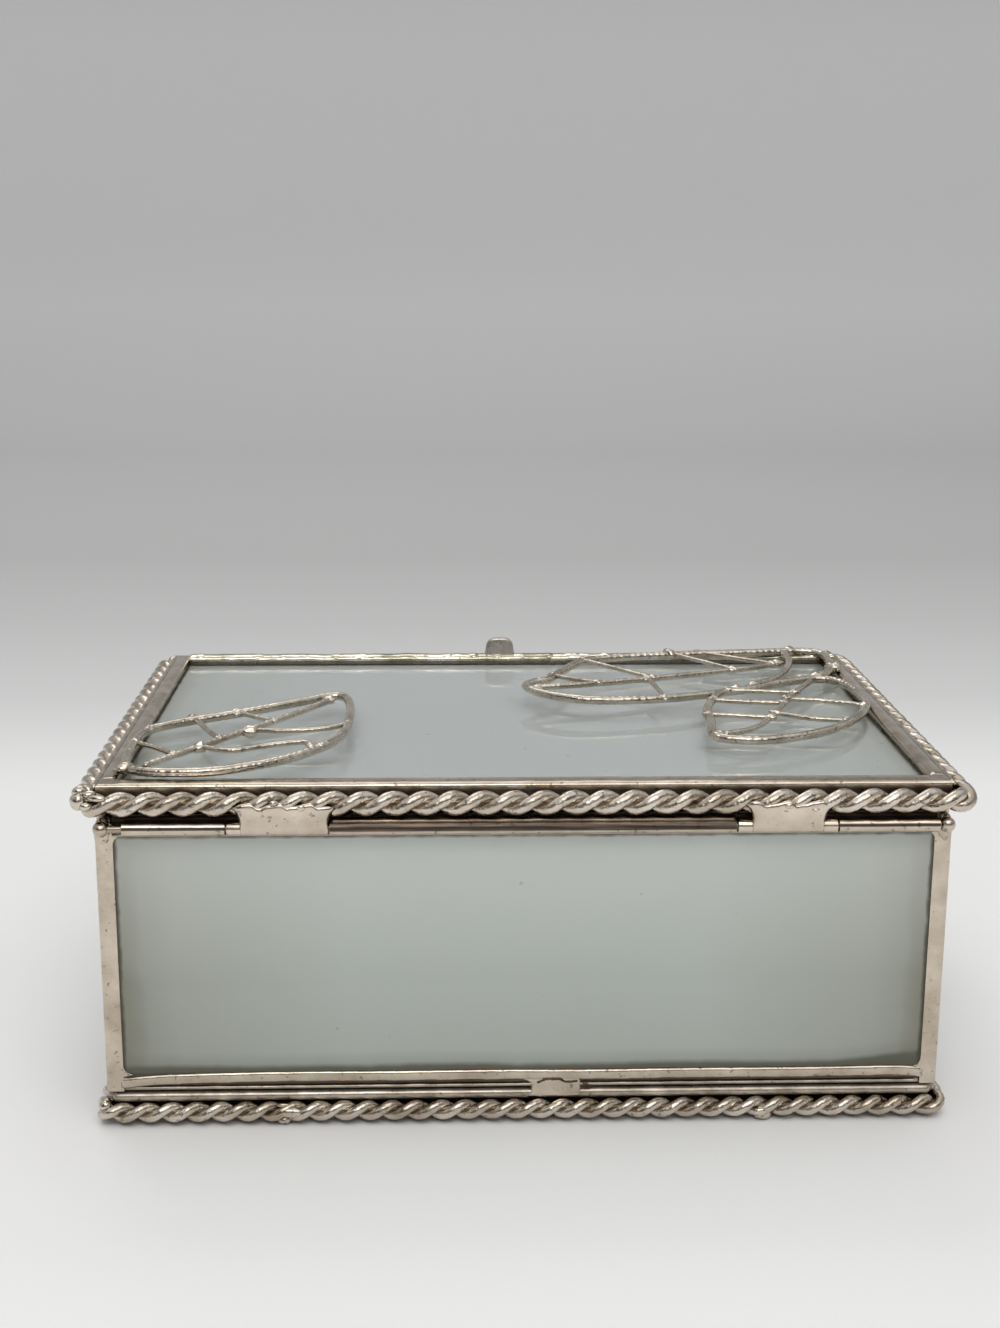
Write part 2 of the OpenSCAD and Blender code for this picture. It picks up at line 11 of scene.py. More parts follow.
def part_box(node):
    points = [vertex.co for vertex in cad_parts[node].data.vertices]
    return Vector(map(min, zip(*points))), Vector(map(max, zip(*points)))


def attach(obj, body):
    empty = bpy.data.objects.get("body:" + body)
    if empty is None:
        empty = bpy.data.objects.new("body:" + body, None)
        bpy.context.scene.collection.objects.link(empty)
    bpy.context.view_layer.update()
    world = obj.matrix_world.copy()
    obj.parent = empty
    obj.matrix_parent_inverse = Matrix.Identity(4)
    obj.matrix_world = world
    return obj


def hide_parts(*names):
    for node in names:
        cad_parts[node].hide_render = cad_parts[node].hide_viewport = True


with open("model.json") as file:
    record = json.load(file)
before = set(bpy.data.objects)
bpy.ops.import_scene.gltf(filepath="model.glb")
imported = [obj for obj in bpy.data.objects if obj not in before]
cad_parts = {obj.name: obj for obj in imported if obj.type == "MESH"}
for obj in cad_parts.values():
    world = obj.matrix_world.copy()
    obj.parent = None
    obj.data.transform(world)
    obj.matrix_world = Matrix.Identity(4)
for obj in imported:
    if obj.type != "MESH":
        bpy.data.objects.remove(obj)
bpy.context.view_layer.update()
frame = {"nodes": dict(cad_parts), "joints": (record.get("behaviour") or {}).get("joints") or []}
nodes = frame["nodes"]

MM = 0.001
X, Y, Z = 0, 1, 2
SIDES = ("back", "front", "left", "right")


# ---------------- sizes, from the frame
def corners(node):
    """The lowest and highest corner of a CAD node, in millimetres to a hundredth."""
    return [[round(v / MM, 2) for v in corner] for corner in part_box(node)]


# Half the width and depth of the walls, the lid and the base, outside and inside their metal,
# and the heights where the base, the walls and the lid begin
(POST_IN_W, POST_IN_D, _), (HALF_W, HALF_D, _) = corners("post_front_right")
(LID_IN_W, _, _), (LID_W, _, _) = corners("lid_came_right")
(_, LID_IN_D, LID_Z), (_, LID_D, LID_TOP) = corners("lid_came_front")
(BASE_IN_W, _, _), (BASE_W, _, _) = corners("base_came_right")
(_, BASE_IN_D, BASE_Z), (_, BASE_D, WALL_Z) = corners("base_came_front")
GLASS_LOW = corners("bottom_rail_back")[1][Z]
GLASS_HIGH = corners("top_rail_back")[0][Z]
HINGE_Y, HINGE_Z = (round(v / MM, 2) for v in frame["joints"][0]["pos_m"][1:])

# ---------------- camera
CAMERA_PLACE = (-0.01461, -0.34495, 0.15515)
CAMERA_TILT, CAMERA_ROLL, CAMERA_HEADING = 76.6185, -0.2638, -1.8417   # degrees

camera_data = bpy.data.cameras.new("camera")
camera_data.sensor_width = 36.0
camera_data.lens = 48.3
camera_data.clip_start = 0.02
camera_data.clip_end = 20
camera = bpy.data.objects.new("camera", camera_data)
bpy.context.scene.collection.objects.link(camera)
camera_turn = Euler([math.radians(a) for a in (CAMERA_TILT, CAMERA_ROLL, CAMERA_HEADING)])
camera.matrix_world = Matrix.LocRotScale(Vector(CAMERA_PLACE), camera_turn, None)
bpy.context.scene.camera = camera
bpy.context.scene.view_settings.view_transform = "Standard"


# ---------------- node helpers
def srgb(*levels):
    """A colour from its levels of 0 to 255."""
    def linear(level):
        v = level / 255
        return v / 12.92 if v <= 0.04045 else ((v + 0.055) / 1.055) ** 2.4
    return (*(linear(level) for level in levels), 1.0)


class Nodes:
    """Short ways to add nodes to a tree. A value is a socket, a number or a colour."""

    def __init__(self, tree):
        self.tree = tree

    def node(self, kind, **settings):
        node = self.tree.nodes.new(kind)
        for name, value in settings.items():
            setattr(node, name, value)
        return node

    def feed(self, socket, value):
        """Links a socket to the value, or sets it where the value is a number or a colour."""
        if isinstance(value, bpy.types.NodeSocket):
            self.tree.links.new(value, socket)
        else:
            socket.default_value = value

    def xyz(self, space="Object"):
        split = self.node("ShaderNodeSeparateXYZ")
        self.feed(split.inputs[0], self.node("ShaderNodeTexCoord").outputs[space])
        return split.outputs

    def noise(self, scale, detail=3.0, rough=0.5, stretch=(1, 1, 1)):
        mapping = self.node("ShaderNodeMapping")
        mapping.inputs["Scale"].default_value = stretch
        self.feed(mapping.inputs["Vector"], self.node("ShaderNodeTexCoord").outputs["Object"])
        node = self.node("ShaderNodeTexNoise")
        node.inputs["Scale"].default_value = scale
        node.inputs["Detail"].default_value = detail
        node.inputs["Roughness"].default_value = rough
        self.feed(node.inputs["Vector"], mapping.outputs["Vector"])
        return node.outputs["Fac"]

    def wave(self, amount, scale, detail, rough):
        """Noise that swings both ways round zero."""
        swing = self.math("SUBTRACT", self.noise(scale, detail, rough), 0.5)
        return self.math("MULTIPLY", swing, amount)

    def ramp(self, share, *stops):
        """A tone for each share of 0 to 1; a tone is a grey or a colour."""
        node = self.node("ShaderNodeValToRGB")
        elements = node.color_ramp.elements
        while len(elements) < len(stops):
            elements.new(0.5)
        for element, (at, tone) in zip(elements, stops):
            element.position = at
            element.color = tone if isinstance(tone, tuple) else (tone, tone, tone, 1)
        self.feed(node.inputs["Fac"], share)
        return node.outputs["Color"]

    def graded(self, value, stops):
        """A ramp whose stops are in the value's own unit."""
        first, last = stops[0][0], stops[-1][0]
        share = self.math("DIVIDE", self.math("SUBTRACT", value, first), last - first)
        return self.ramp(share, *[((at - first) / (last - first), tone) for at, tone in stops])

    def math(self, operation, *values, clamp=False):
        node = self.node("ShaderNodeMath", operation=operation, use_clamp=clamp)
        for socket, value in zip(node.inputs, values):
            self.feed(socket, value)
        return node.outputs[0]

    def mix(self, share, a, b):
        node = self.node("ShaderNodeMix", data_type="RGBA")
        for k, value in ((0, share), (6, a), (7, b)):
            self.feed(node.inputs[k], value)
        return node.outputs[2]


class Mat(Nodes):
    """A material, and short ways to add its nodes."""

    def __init__(self, name, **sockets):
        self.material = bpy.data.materials.new(name)
        self.material.use_nodes = True
        super().__init__(self.material.node_tree)
        self.shader = self.tree.nodes["Principled BSDF"]
        for socket, value in sockets.items():
            self.shader.inputs[socket.replace("_", " ")].default_value = value

    def off_middle(self, axis):
        """How far a place lies from the middle of the box along an axis, in metres."""
        return self.math("ABSOLUTE", self.xyz()[axis])

    def bump(self, *layers):
        """Layers of (height, distance in millimetres, strength), one on the other."""
        normal = None
        for height, distance, strength in layers:
            node = self.node("ShaderNodeBump")
            node.inputs["Distance"].default_value = distance * MM
            node.inputs["Strength"].default_value = strength
            self.feed(node.inputs["Height"], height)
            if normal is not None:
                self.feed(node.inputs["Normal"], normal)
            normal = node.outputs["Normal"]
        self.feed(self.shader.inputs["Normal"], normal)


# ---------------- metal
TONE = srgb(214, 202, 186)
SHADE = srgb(180, 166, 148)
# Dark brown of tarnished metal, also used as painted shade and painted dark reflection
TARNISH_AND_SHADE = srgb(58, 47, 39)
PITS = srgb(70, 60, 50)
# Dark patina with painted shade, laid into crevices by ambient occlusion
CREVICE_PATINA_AND_SHADE = srgb(62, 52, 42)
STREAK = srgb(150, 134, 118)
CREVICE = 1.4          # how far a crevice reaches, in millimetres
SKIN = 0.3             # how soon a layer that lies on outer faces is at its full strength
SHADE_AND_TARNISH_ROUGH = 0.42

# Painted shade, painted dark reflection and tarnished patches along an axis: its stops are (place
# from start, amount), its edges wander by wave, and it shows beyond outside, a half width and
# depth, or everywhere. All are in millimetres.
ShadeAndTarnish = namedtuple("ShadeAndTarnish", "axis start wave stops outside", defaults=(None,))


def add_tarnish(m, colour, rough, layer):
    place = m.math("ADD", m.math("MULTIPLY", m.off_middle(layer.axis), 1 / MM),
                   m.wave(layer.wave, 240, 3, 0.6))
    dull = m.graded(place, [(layer.start + at, amount) for at, amount in layer.stops])
    if layer.outside:
        beyond = [m.math("SUBTRACT", m.off_middle(axis), layer.outside[axis] * MM) for axis in (X, Y)]
        on_face = m.math("DIVIDE", m.math("MAXIMUM", *beyond), SKIN * MM, clamp=True)
        dull = m.math("MULTIPLY", dull, on_face)
    return m.mix(dull, colour, TARNISH_AND_SHADE), m.mix(dull, rough, (SHADE_AND_TARNISH_ROUGH,) * 3 + (1,))


def solder(name, tone, shade, rough, lumps, grain=0.35, lump_scale=260.0, crevice=0.0, tarnish=(),
           streaks=0.0, metallic=1.0):
    """Hand-run solder: soft lumps, a fine grain, cloudy tone and duller patches, with patina and
    painted shade in crevices and bands of painted shade.
    """
    m = Mat(name, Metallic=metallic)
    colour = m.mix(m.ramp(m.noise(160, 4, 0.6), (0.35, 0.0), (0.68, 1.0)), tone, shade)
    pits = m.ramp(m.noise(900, 2, 0.5), (0.30, 1.0), (0.36, 0.0))
    colour = m.mix(m.math("MULTIPLY", pits, 0.55), colour, PITS)
    # Patina and painted shade darken the crevices that ambient occlusion finds
    if crevice:
        ao = m.node("ShaderNodeAmbientOcclusion", samples=6)
        ao.inputs["Distance"].default_value = CREVICE * MM
        deep = m.ramp(ao.outputs["AO"], (0.12, 1.0), (0.75, 0.0))
        colour = m.mix(m.math("MULTIPLY", deep, crevice), colour, CREVICE_PATINA_AND_SHADE)
    roughness = m.ramp(m.noise(420, 3, 0.6), (0.3, rough[0]), (0.7, rough[1]))
    # Bands of painted shade, painted dark reflection and tarnished patches
    for layer in tarnish:
        colour, roughness = add_tarnish(m, colour, roughness, layer)
    lines = m.noise(2400, 3, 0.6, stretch=(0.03, 0.03, 1))
    if streaks:
        marks = m.ramp(lines, (0.5, 0.0), (0.62, 1.0))
        colour = m.mix(m.math("MULTIPLY", marks, streaks), colour, STREAK)
    m.feed(m.shader.inputs["Base Color"], colour)
    m.feed(m.shader.inputs["Roughness"], roughness)
    m.bump((m.noise(lump_scale, 2, 0.5), 0.35, lumps), (m.noise(1400, 5, 0.65), 0.06, grain),
           (lines, 0.1, 0.25))
    return m.material


# Solder runs and drops
RUN = solder("solder_run", TONE, SHADE, rough=(0.12, 0.3), lumps=0.45, crevice=0.9)
DROP = solder("solder_drop", srgb(230, 220, 206), srgb(196, 184, 168), rough=(0.08, 0.2), lumps=0.4,
              grain=0.25, crevice=0.6)
DARK = solder("tarnished_solder", srgb(88, 74, 62), TARNISH_AND_SHADE, rough=(0.2, 0.4), lumps=0.4,
              crevice=0.8, streaks=0.25)
# The far edge: its cloud of bright and dark olive patches is painted highlight and painted shade
FAR_EDGE = solder("far_edge_solder", srgb(238, 232, 214), srgb(140, 134, 106), rough=(0.07, 0.18),
                  lumps=0.5, crevice=0.25)
EDGE_BAR = solder("edge_bar_solder", srgb(206, 195, 180), srgb(140, 127, 112), rough=(0.12, 0.26),
                  lumps=0.5, metallic=0.6)
# The middle tube's fill: darker tone of tarnished solder, with painted shade under the rope
TUBE_FILL = solder("middle_tube_fill", srgb(158, 140, 124), srgb(98, 82, 70), rough=(0.2, 0.4),
                   lumps=0.3, crevice=0.5, streaks=0.3)

# Wires
ROPE = solder("rope_tinned", srgb(226, 216, 203), SHADE, rough=(0.10, 0.28), lumps=0.75, grain=0.85,
              lump_scale=560, crevice=0.95)
# The solder in the rope's valleys: darker tone of tarnished solder, with painted shade between the
# strands
ROPE_CORE = solder("rope_core_solder", srgb(128, 114, 98), TARNISH_AND_SHADE, rough=(0.25, 0.4), lumps=0.4,
                   crevice=0.9)
LEAF_WIRE = solder("leaf_wire_tinned", srgb(222, 213, 198), srgb(176, 166, 150), rough=(0.07, 0.2),
                   lumps=0.5, grain=0.4, lump_scale=800, crevice=0.6)

# Channels and rails, with bands of painted shade, painted dark reflection and tarnished patches
CHANNEL_ROUGH, RAIL_ROUGH = (0.10, 0.24), (0.12, 0.3)
WALL_FACES = (HALF_W - 0.7, HALF_D - 0.7)
# The lid channel's outer face behind the rope: tarnished patches with painted shade
LID_SHADE_AND_TARNISH = ShadeAndTarnish(Z, LID_Z, 0.5, [(0.1, 0.97), (3.7, 0.85), (4.2, 0.5), (4.6, 0.0)],
                   (LID_W - 0.4, LID_D - 0.4))
# A thin line of painted shade where a channel meets the glass
SHADE_AT_GLASS = [(0.12, 0.45), (0.3, 0.0)]


def rail(name, rough, **more):
    return solder(name, TONE, SHADE, rough, lumps=0.3, crevice=0.9, **more)


CHANNEL = rail("channel_solder", CHANNEL_ROUGH)
LID_LONG = rail("lid_channel_long", CHANNEL_ROUGH,
                tarnish=[LID_SHADE_AND_TARNISH, ShadeAndTarnish(Y, LID_IN_D, 0.1, SHADE_AT_GLASS)])
LID_SHORT = rail("lid_channel_short", CHANNEL_ROUGH,
                 tarnish=[LID_SHADE_AND_TARNISH, ShadeAndTarnish(X, LID_IN_W, 0.1, SHADE_AT_GLASS)])
# The base channel's outer face below its top edge: painted dark reflection of the rope and its shade
BASE_CHANNEL = rail("base_channel_solder", CHANNEL_ROUGH, streaks=0.15, tarnish=[
    ShadeAndTarnish(Z, BASE_Z, 0.5, [(3.2, 0.95), (3.8, 0.88), (4.15, 0.05), (4.9, 0.05)],
            (BASE_W - 0.4, BASE_D - 0.4))])
# The bottom rail's lowest part, in the crease over the channel: painted shade
LOW_RAIL = rail("bottom_rail_solder", RAIL_ROUGH, streaks=0.3, tarnish=[
    ShadeAndTarnish(Z, WALL_Z, 0.4, [(0.0, 0.95), (1.9, 0.85), (2.6, 0.2)], WALL_FACES)])
# The hinge rail above the glass, behind the tubes: painted shade
HINGE_RAIL = rail("hinge_rail_solder", RAIL_ROUGH, tarnish=[
    ShadeAndTarnish(Z, GLASS_HIGH, 0.4, [(0.2, 0.1), (0.7, 0.5), (1.3, 0.97), (3.5, 0.97)], WALL_FACES)])


# The hinge and the thumb tab
def tube_metal(name, **more):
    return solder(name, srgb(216, 203, 188), srgb(190, 176, 160), rough=(0.10, 0.22), lumps=0.12,
                  grain=0.2, crevice=0.8, **more)


# An end tube: a band of painted dark reflection just above its middle, and painted shade above its
# highlight line
END_TUBE = tube_metal("hinge_tube_end", tarnish=[
    ShadeAndTarnish(Z, HINGE_Z, 0.1, [(0.0, 0.0), (0.2, 0.85), (0.58, 0.85), (0.7, 0.0), (1.0, 0.0),
                              (1.12, 0.9)])])
# The middle tube: painted dark reflection and painted shade over its upper part, with tarnished streaks
MIDDLE_TUBE = tube_metal("hinge_tube_middle", streaks=0.35, tarnish=[
    ShadeAndTarnish(Z, HINGE_Z, 0.12, [(-0.4, 0.0), (-0.15, 0.92), (0.8, 0.92), (1.0, 0.7), (1.2, 0.7)])])
PLATE_METAL = solder("hinge_tube_tinned", srgb(226, 213, 198), srgb(200, 186, 170),
                     rough=(0.10, 0.22), lumps=0.12, grain=0.2, crevice=0.9)
ROD = solder("rod_steel", srgb(190, 178, 164), srgb(150, 138, 124), rough=(0.18, 0.32), lumps=0.1,
             crevice=0.8)
TAB_METAL = solder("tab_metal", srgb(216, 211, 202), srgb(188, 182, 172), rough=(0.22, 0.4),
                   lumps=0.2, grain=0.4)

# ---------------- glass
# The walls' tint is darker than the lid's: painted shade on the upright sheets
SHADED_WALL_TINT = srgb(190, 197, 191)
LID_TINT = srgb(204, 214, 209)
# Painted shade towards the ends of a sheet
END_SHADE_TINT = srgb(138, 137, 122)
LID_END_SHADE_TINT = srgb(168, 171, 160)
# Painted light near the top of a wall
WALL_TOP_LIGHT = srgb(240, 245, 241)
# Painted shade and a painted reflection of the bead along the foot of a wall
WALL_FOOT_SHADE = srgb(92, 91, 76)
# Painted shade in a thin line along a sheet's rim
RIM_SHADE = srgb(70, 66, 44)
SPECK = srgb(120, 122, 112)
GLOW, GLOW_DEPTH = 0.6, 3.5            # how much light spreads in a sheet, and how deep
LID_GLOW, LID_GLOW_DEPTH = 1.0, 12.0
END_FADE = 40.0                        # how far a sheet darkens from its ends
WALL_FADE = 45.0                       # the height over which a wall changes
RIGHT_END = 16.0                       # the stretch at its right end where its dark foot is higher


def wall_shade(m, colour, along, above, half):
    """Painted light makes a wall paler near its top; painted shade darkens its foot, most at its right
    end.
    """
    height = m.math("DIVIDE", above, WALL_FADE)
    # Painted light near the top
    colour = m.mix(m.ramp(height, (0.4, 0.0), (1.0, 0.4)), colour, WALL_TOP_LIGHT)
    to_right = m.math("MULTIPLY", m.math("SUBTRACT", half * MM, along), 1 / (RIGHT_END * MM))
    right = m.ramp(to_right, (0.0, 1.0), (0.5, 0.6), (1.0, 0.0))
    uneven = m.math("ADD", height, m.wave(0.03, 70, 3, 0.6))
    # Painted shade and a painted reflection of the bead along the foot, reaching higher at the right
    # end
    foot = m.ramp(m.math("MULTIPLY_ADD", right, -0.035, uneven),
                  (0.0, 1.0), (0.03, 0.92), (0.05, 0.3), (0.1, 0.07), (0.35, 0.0))
    return m.mix(foot, colour, WALL_FOOT_SHADE)


def glass(name, tint, edge, axis, half, half_y=None, glow=GLOW, glow_depth=GLOW_DEPTH):
    """White-backed sheet glass: pale grey-green and polished, darker towards its ends with painted
    shade, with a thin olive line of painted shade where it enters the metal, and a few specks. It runs
    to half along its axis, and to half_y along Y or, without one, up between the wall's rails."""
    m = Mat(name, Roughness=0.04, IOR=1.5, Subsurface_Weight=glow,
            Subsurface_Radius=(1.0, 1.0, 0.95), Subsurface_Scale=glow_depth * MM)
    place = m.xyz()

    def within(value, limit):
        return m.math("MULTIPLY", m.math("SUBTRACT", limit * MM, value), 1 / MM)

    to_end = within(m.math("ABSOLUTE", place[axis]), half)
    # Painted shade towards the sheet's ends
    end_shade = m.ramp(m.math("DIVIDE", m.math("ADD", to_end, m.wave(4.0, 90, 3, 0.5)), END_FADE),
                      (0.0, 0.95), (0.075, 0.74), (0.11, 0.56), (0.25, 0.34), (1.0, 0.0))
    colour = m.mix(end_shade, tint, edge)
    if half_y is None:
        above = m.math("MULTIPLY", m.math("SUBTRACT", place[Z], GLASS_LOW * MM), 1 / MM)
        to_rail = m.math("MINIMUM", above, within(place[Z], GLASS_HIGH))
        colour = wall_shade(m, colour, place[axis], above, half)
    else:
        to_rail = within(m.math("ABSOLUTE", place[Y]), half_y)
    to_edge = m.math("ADD", m.math("MINIMUM", to_end, to_rail), m.wave(0.7, 300, 2, 0.5))
    # A thin olive line of painted shade where the glass enters the metal
    line = m.ramp(to_edge, (0.25, 1.0), (0.8, 0.0))
    colour = m.mix(m.math("MULTIPLY", line, 0.85), colour, RIM_SHADE)
    specks = m.ramp(m.noise(520, 0, 0.5), (0.14, 1.0), (0.155, 0.0))
    colour = m.mix(m.math("MULTIPLY", specks, 0.3), colour, SPECK)
    m.feed(m.shader.inputs["Base Color"], colour)
    m.feed(m.shader.inputs["Roughness"], m.ramp(m.noise(60, 3, 0.6), (0.35, 0.012), (0.7, 0.035)))
    m.bump((m.noise(14, 1, 0.4), 0.6, 0.03))
    return m.material


LONG_WALL = glass("wall_glass_long", SHADED_WALL_TINT, END_SHADE_TINT, X, POST_IN_W)
SHORT_WALL = glass("wall_glass_short", SHADED_WALL_TINT, END_SHADE_TINT, Y, POST_IN_D)
LID_SHEET = glass("lid_glass_sheet", LID_TINT, LID_END_SHADE_TINT, X, LID_IN_W, LID_IN_D, LID_GLOW,
                  LID_GLOW_DEPTH)
BASE_SHEET = glass("base_glass_sheet", LID_TINT, END_SHADE_TINT, X, BASE_IN_W, BASE_IN_D)

# ---------------- materials of the CAD nodes
FINISHES = {   # the start of a node's name, and its material; the first that fits is taken
    "wall_glass_back": LONG_WALL,
    "wall_glass_front": LONG_WALL,
    "wall_glass": SHORT_WALL,
    "lid_glass": LID_SHEET,
    "base_glass": BASE_SHEET,
    "lid_came_back": LID_LONG,
    "lid_came_front": LID_LONG,
    "lid_came": LID_SHORT,
    "base_came": BASE_CHANNEL,
    "bottom_rail": LOW_RAIL,
    "solder_tacks": LOW_RAIL,
    "top_rail_back": HINGE_RAIL,
    "thumb_tab": TAB_METAL,
    "hinge_rod": ROD,
    "hinge_tube_centre": MIDDLE_TUBE,
    "hinge_": END_TUBE,
    "left_leaf": LEAF_WIRE,
    "large_leaf": LEAF_WIRE,
    "right_leaf": LEAF_WIRE,
    "lid_rope": ROPE,
    "base_rope": ROPE,
}
for name, node in nodes.items():
    finish = next((FINISHES[start] for start in FINISHES if name.startswith(start)), RUN)
    for slot in node.material_slots:
        slot.material = finish


# ---------------- mesh helpers
def mesh_object(name, verts, faces, material):
    mesh = bpy.data.meshes.new(name)
    mesh.from_pydata(verts, [], faces)
    mesh.validate()
    mesh.update()
    mesh.polygons.foreach_set("use_smooth", [True] * len(mesh.polygons))
    mesh.materials.append(material)
    made = bpy.data.objects.new(name, mesh)
    bpy.context.scene.collection.objects.link(made)
    return made


def turns(count, start=0.0):
    """Angles once round, in radians."""
    return [2 * math.pi * (j + start) / count for j in range(count)]


def steps(start, end, count):
    """Places from start to end, in count equal steps."""
    return [start + (end - start) * a / count for a in range(count + 1)]


def wander(amount, *place):
    """A smooth swing of up to amount, which depends on a place."""
    return amount * noise.noise(Vector(place))


def dome(centre, outwards, ring, radius):
    """Rings that round off the end of a wire."""
    rings = []
    for angle in (30, 60, 82):
        reach, narrow = math.sin(math.radians(angle)), math.cos(math.radians(angle))
        rings.append([centre + (p - centre) * narrow + outwards * radius * reach * 0.9 for p in ring])
    return rings


class Shape:
    """Collects wires and drops of solder into one piece, in millimetres."""

    def __init__(self):
        self.verts, self.faces = [], []

    def rings(self, rings, closed=False):
        """The skin over a row of rings, which joins up when closed and is capped when not."""
        count, sides, base = len(rings), len(rings[0]), len(self.verts)
        for ring in rings:
            self.verts += [tuple(p) for p in ring]
        for i in range(count if closed else count - 1):
            a = base + i * sides
            b = base + (i + 1) % count * sides
            for j in range(sides):
                k = (j + 1) % sides
                self.faces.append((a + j, a + k, b + k, b + j))
        if not closed:
            self.faces.append(tuple(base + j for j in range(sides))[::-1])
            self.faces.append(tuple(base + (count - 1) * sides + j for j in range(sides)))

    def tube(self, line, radius, sides=12, closed=False):
        """A wire along points, with its radius at each from radius(i), and rounded ends."""
        line = [Vector(p) for p in line]
        n = len(line)
        rings = []
        for i, p in enumerate(line):
            before = line[(i - 1) % n] if closed else line[max(i - 1, 0)]
            after = line[(i + 1) % n] if closed else line[min(i + 1, n - 1)]
            along = (after - before).normalized()
            side = Vector((along.y, -along.x, 0)).normalized()
            up = side.cross(along).normalized()
            rings.append([p + radius(i) * (math.cos(q) * side + math.sin(q) * up)
                          for q in turns(sides, 0.5)])
        if not closed:
            start = dome(line[0], (line[0] - line[1]).normalized(), rings[0], radius(0))
            end = dome(line[-1], (line[-1] - line[-2]).normalized(), rings[-1], radius(n - 1))
            rings = start[::-1] + rings + end
        self.rings(rings, closed)

    def drop(self, centre, radius, stretch=(1, 1, 1), turn=0.0, seed=0, lump=0.12, floor=None):
        """A lumpy drop of solder, cut flat at the height of a floor."""
        across, down = 18, 12
        base = len(self.verts)
        shift = Vector((seed * 7.1, seed * 3.3, seed * 1.7))
        cos_turn, sin_turn = math.cos(turn), math.sin(turn)
        for i in range(down + 1):
            tilt = math.pi * i / down
            for q in turns(across):
                d = Vector((math.sin(tilt) * math.cos(q), math.sin(tilt) * math.sin(q), math.cos(tilt)))
                r = radius * (1 + lump * noise.noise(d * 1.6 + shift)
                              + 0.4 * lump * noise.noise(d * 4 + shift))
                x, y, z = (d[k] * r * stretch[k] for k in (X, Y, Z))
                z += centre[Z]
                self.verts.append((centre[X] + x * cos_turn - y * sin_turn,
                                   centre[Y] + x * sin_turn + y * cos_turn,
                                   z if floor is None else max(z, floor)))
        for i in range(down):
            for j in range(across):
                a, b = base + i * across + j, base + i * across + (j + 1) % across
                self.faces.append((a, b, b + across, a + across))

    def build(self, name, material, body, replaces=()):
        verts = [(x * MM, y * MM, z * MM) for x, y, z in self.verts]
        piece = mesh_object(name, verts, self.faces, material)
        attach(piece, body)
        if replaces:
            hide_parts(*replaces)


# ---------------- twisted rope
def loop_point(s, w, d, r):
    """The place and heading at s along the frame's rope, a rectangle with round corners that
    starts at the middle of the back."""
    a, b, corner = w - r, d - r, math.pi * r / 2
    legs = [a, corner, 2 * b, corner, 2 * a, corner, 2 * b, corner, a]
    starts = [(0, -d), (w, -b), (a, d), (-w, b), (-a, -d)]
    centres = [(a, -b), (a, b), (-a, b), (-a, -b)]
    for k, leg in enumerate(legs):
        if s <= leg + 1e-6 or k == len(legs) - 1:
            break
        s -= leg
    heading = (k + 1) // 2 * 90
    if k % 2 == 0:
        x, y = starts[k // 2]
        turn = math.radians(heading)
        return x + s * math.cos(turn), y + s * math.sin(turn), turn
    cx, cy = centres[k // 2]
    turn = math.radians(heading - 90 + s / corner * 90)
    return cx + r * math.sin(turn), cy - r * math.cos(turn), turn


UP = Vector((0, 0, 1))


def strand(path, phase, per_turn, radius, sides):
    """One wire of a rope, which winds round the path, and whose thickness varies a little."""
    line, outwards = [], []
    for i, (centre, away) in enumerate(path):
        turn = phase + 2 * math.pi * i / per_turn
        lean = math.cos(turn) * away + math.sin(turn) * UP
        uneven = 1 + wander(0.05, centre.x * 0.35, centre.y * 0.35, phase * 1.75)
        line.append(centre + lean * radius * uneven)
        outwards.append(lean)
    rings = []
    for i, p in enumerate(line):
        along = (line[(i + 1) % len(line)] - line[i - 1]).normalized()
        out = (outwards[i] - along * outwards[i].dot(along)).normalized()
        r = radius * (1.05 + wander(0.05, *p * 0.9) + wander(0.02, *p * 3.1))
        rings.append([p + r * (math.cos(q) * out + math.sin(q) * along.cross(out))
                      for q in turns(sides)])
    return rings


def rope(name, body, w, d, offset, z, thickness, twists, per_turn, sides):
    """Two strands twisted round each other, and the solder that fills the valleys between them.
    The rope's centre lies offset outside a rectangle of half width w and half depth d."""
    length = 4 * (w + d) + 2 * math.pi * offset
    count = twists * per_turn
    path = []
    for i in range(count):
        x, y, turn = loop_point(i * length / count, w + offset, d + offset, offset)
        path.append((Vector((x, y, z)), Vector((math.sin(turn), -math.cos(turn), 0))))
    wire = thickness / 4
    shape = Shape()
    for phase in (0, math.pi):
        shape.rings(strand(path, phase, per_turn, wire, sides), closed=True)
    shape.build(name + "_strands", ROPE, body, (name,))
    core = []
    for centre, away in path[::3]:
        r = wire * (0.86 + wander(0.12, centre.x * 0.5, centre.y * 0.5, 1.5))
        core.append([centre + r * (math.cos(q) * away + math.sin(q) * UP) for q in turns(12)])
    shape = Shape()
    shape.rings(core, closed=True)
    shape.build(name + "_core", ROPE_CORE, body)


rope("lid_rope", "lid", LID_W, LID_D, offset=2.2, z=LID_Z + 2.15, thickness=4.3, twists=49,
     per_turn=20, sides=14)
rope("base_rope", "box", BASE_W, BASE_D, offset=1.85, z=2.5, thickness=3.6, twists=57,
     per_turn=18, sides=12)

# ---------------- wire leaves
LEAF_LIFT, LEAF_SLOPE = 0.9, 0.023   # the wires' height over the lid's rim, and its rise inwards
OUTLINE_R, STALK_R, MIDRIB_R, VEIN_R = 0.85, 0.82, 0.62, 0.5
BEAD_SPACING = 1.45                  # between the beads that tinning leaves on a wire
WIRE_STEP = 0.36


def leaf_z(x):
    return LID_TOP + LEAF_LIFT + LEAF_SLOPE * max(0.0, LID_IN_W - abs(x))


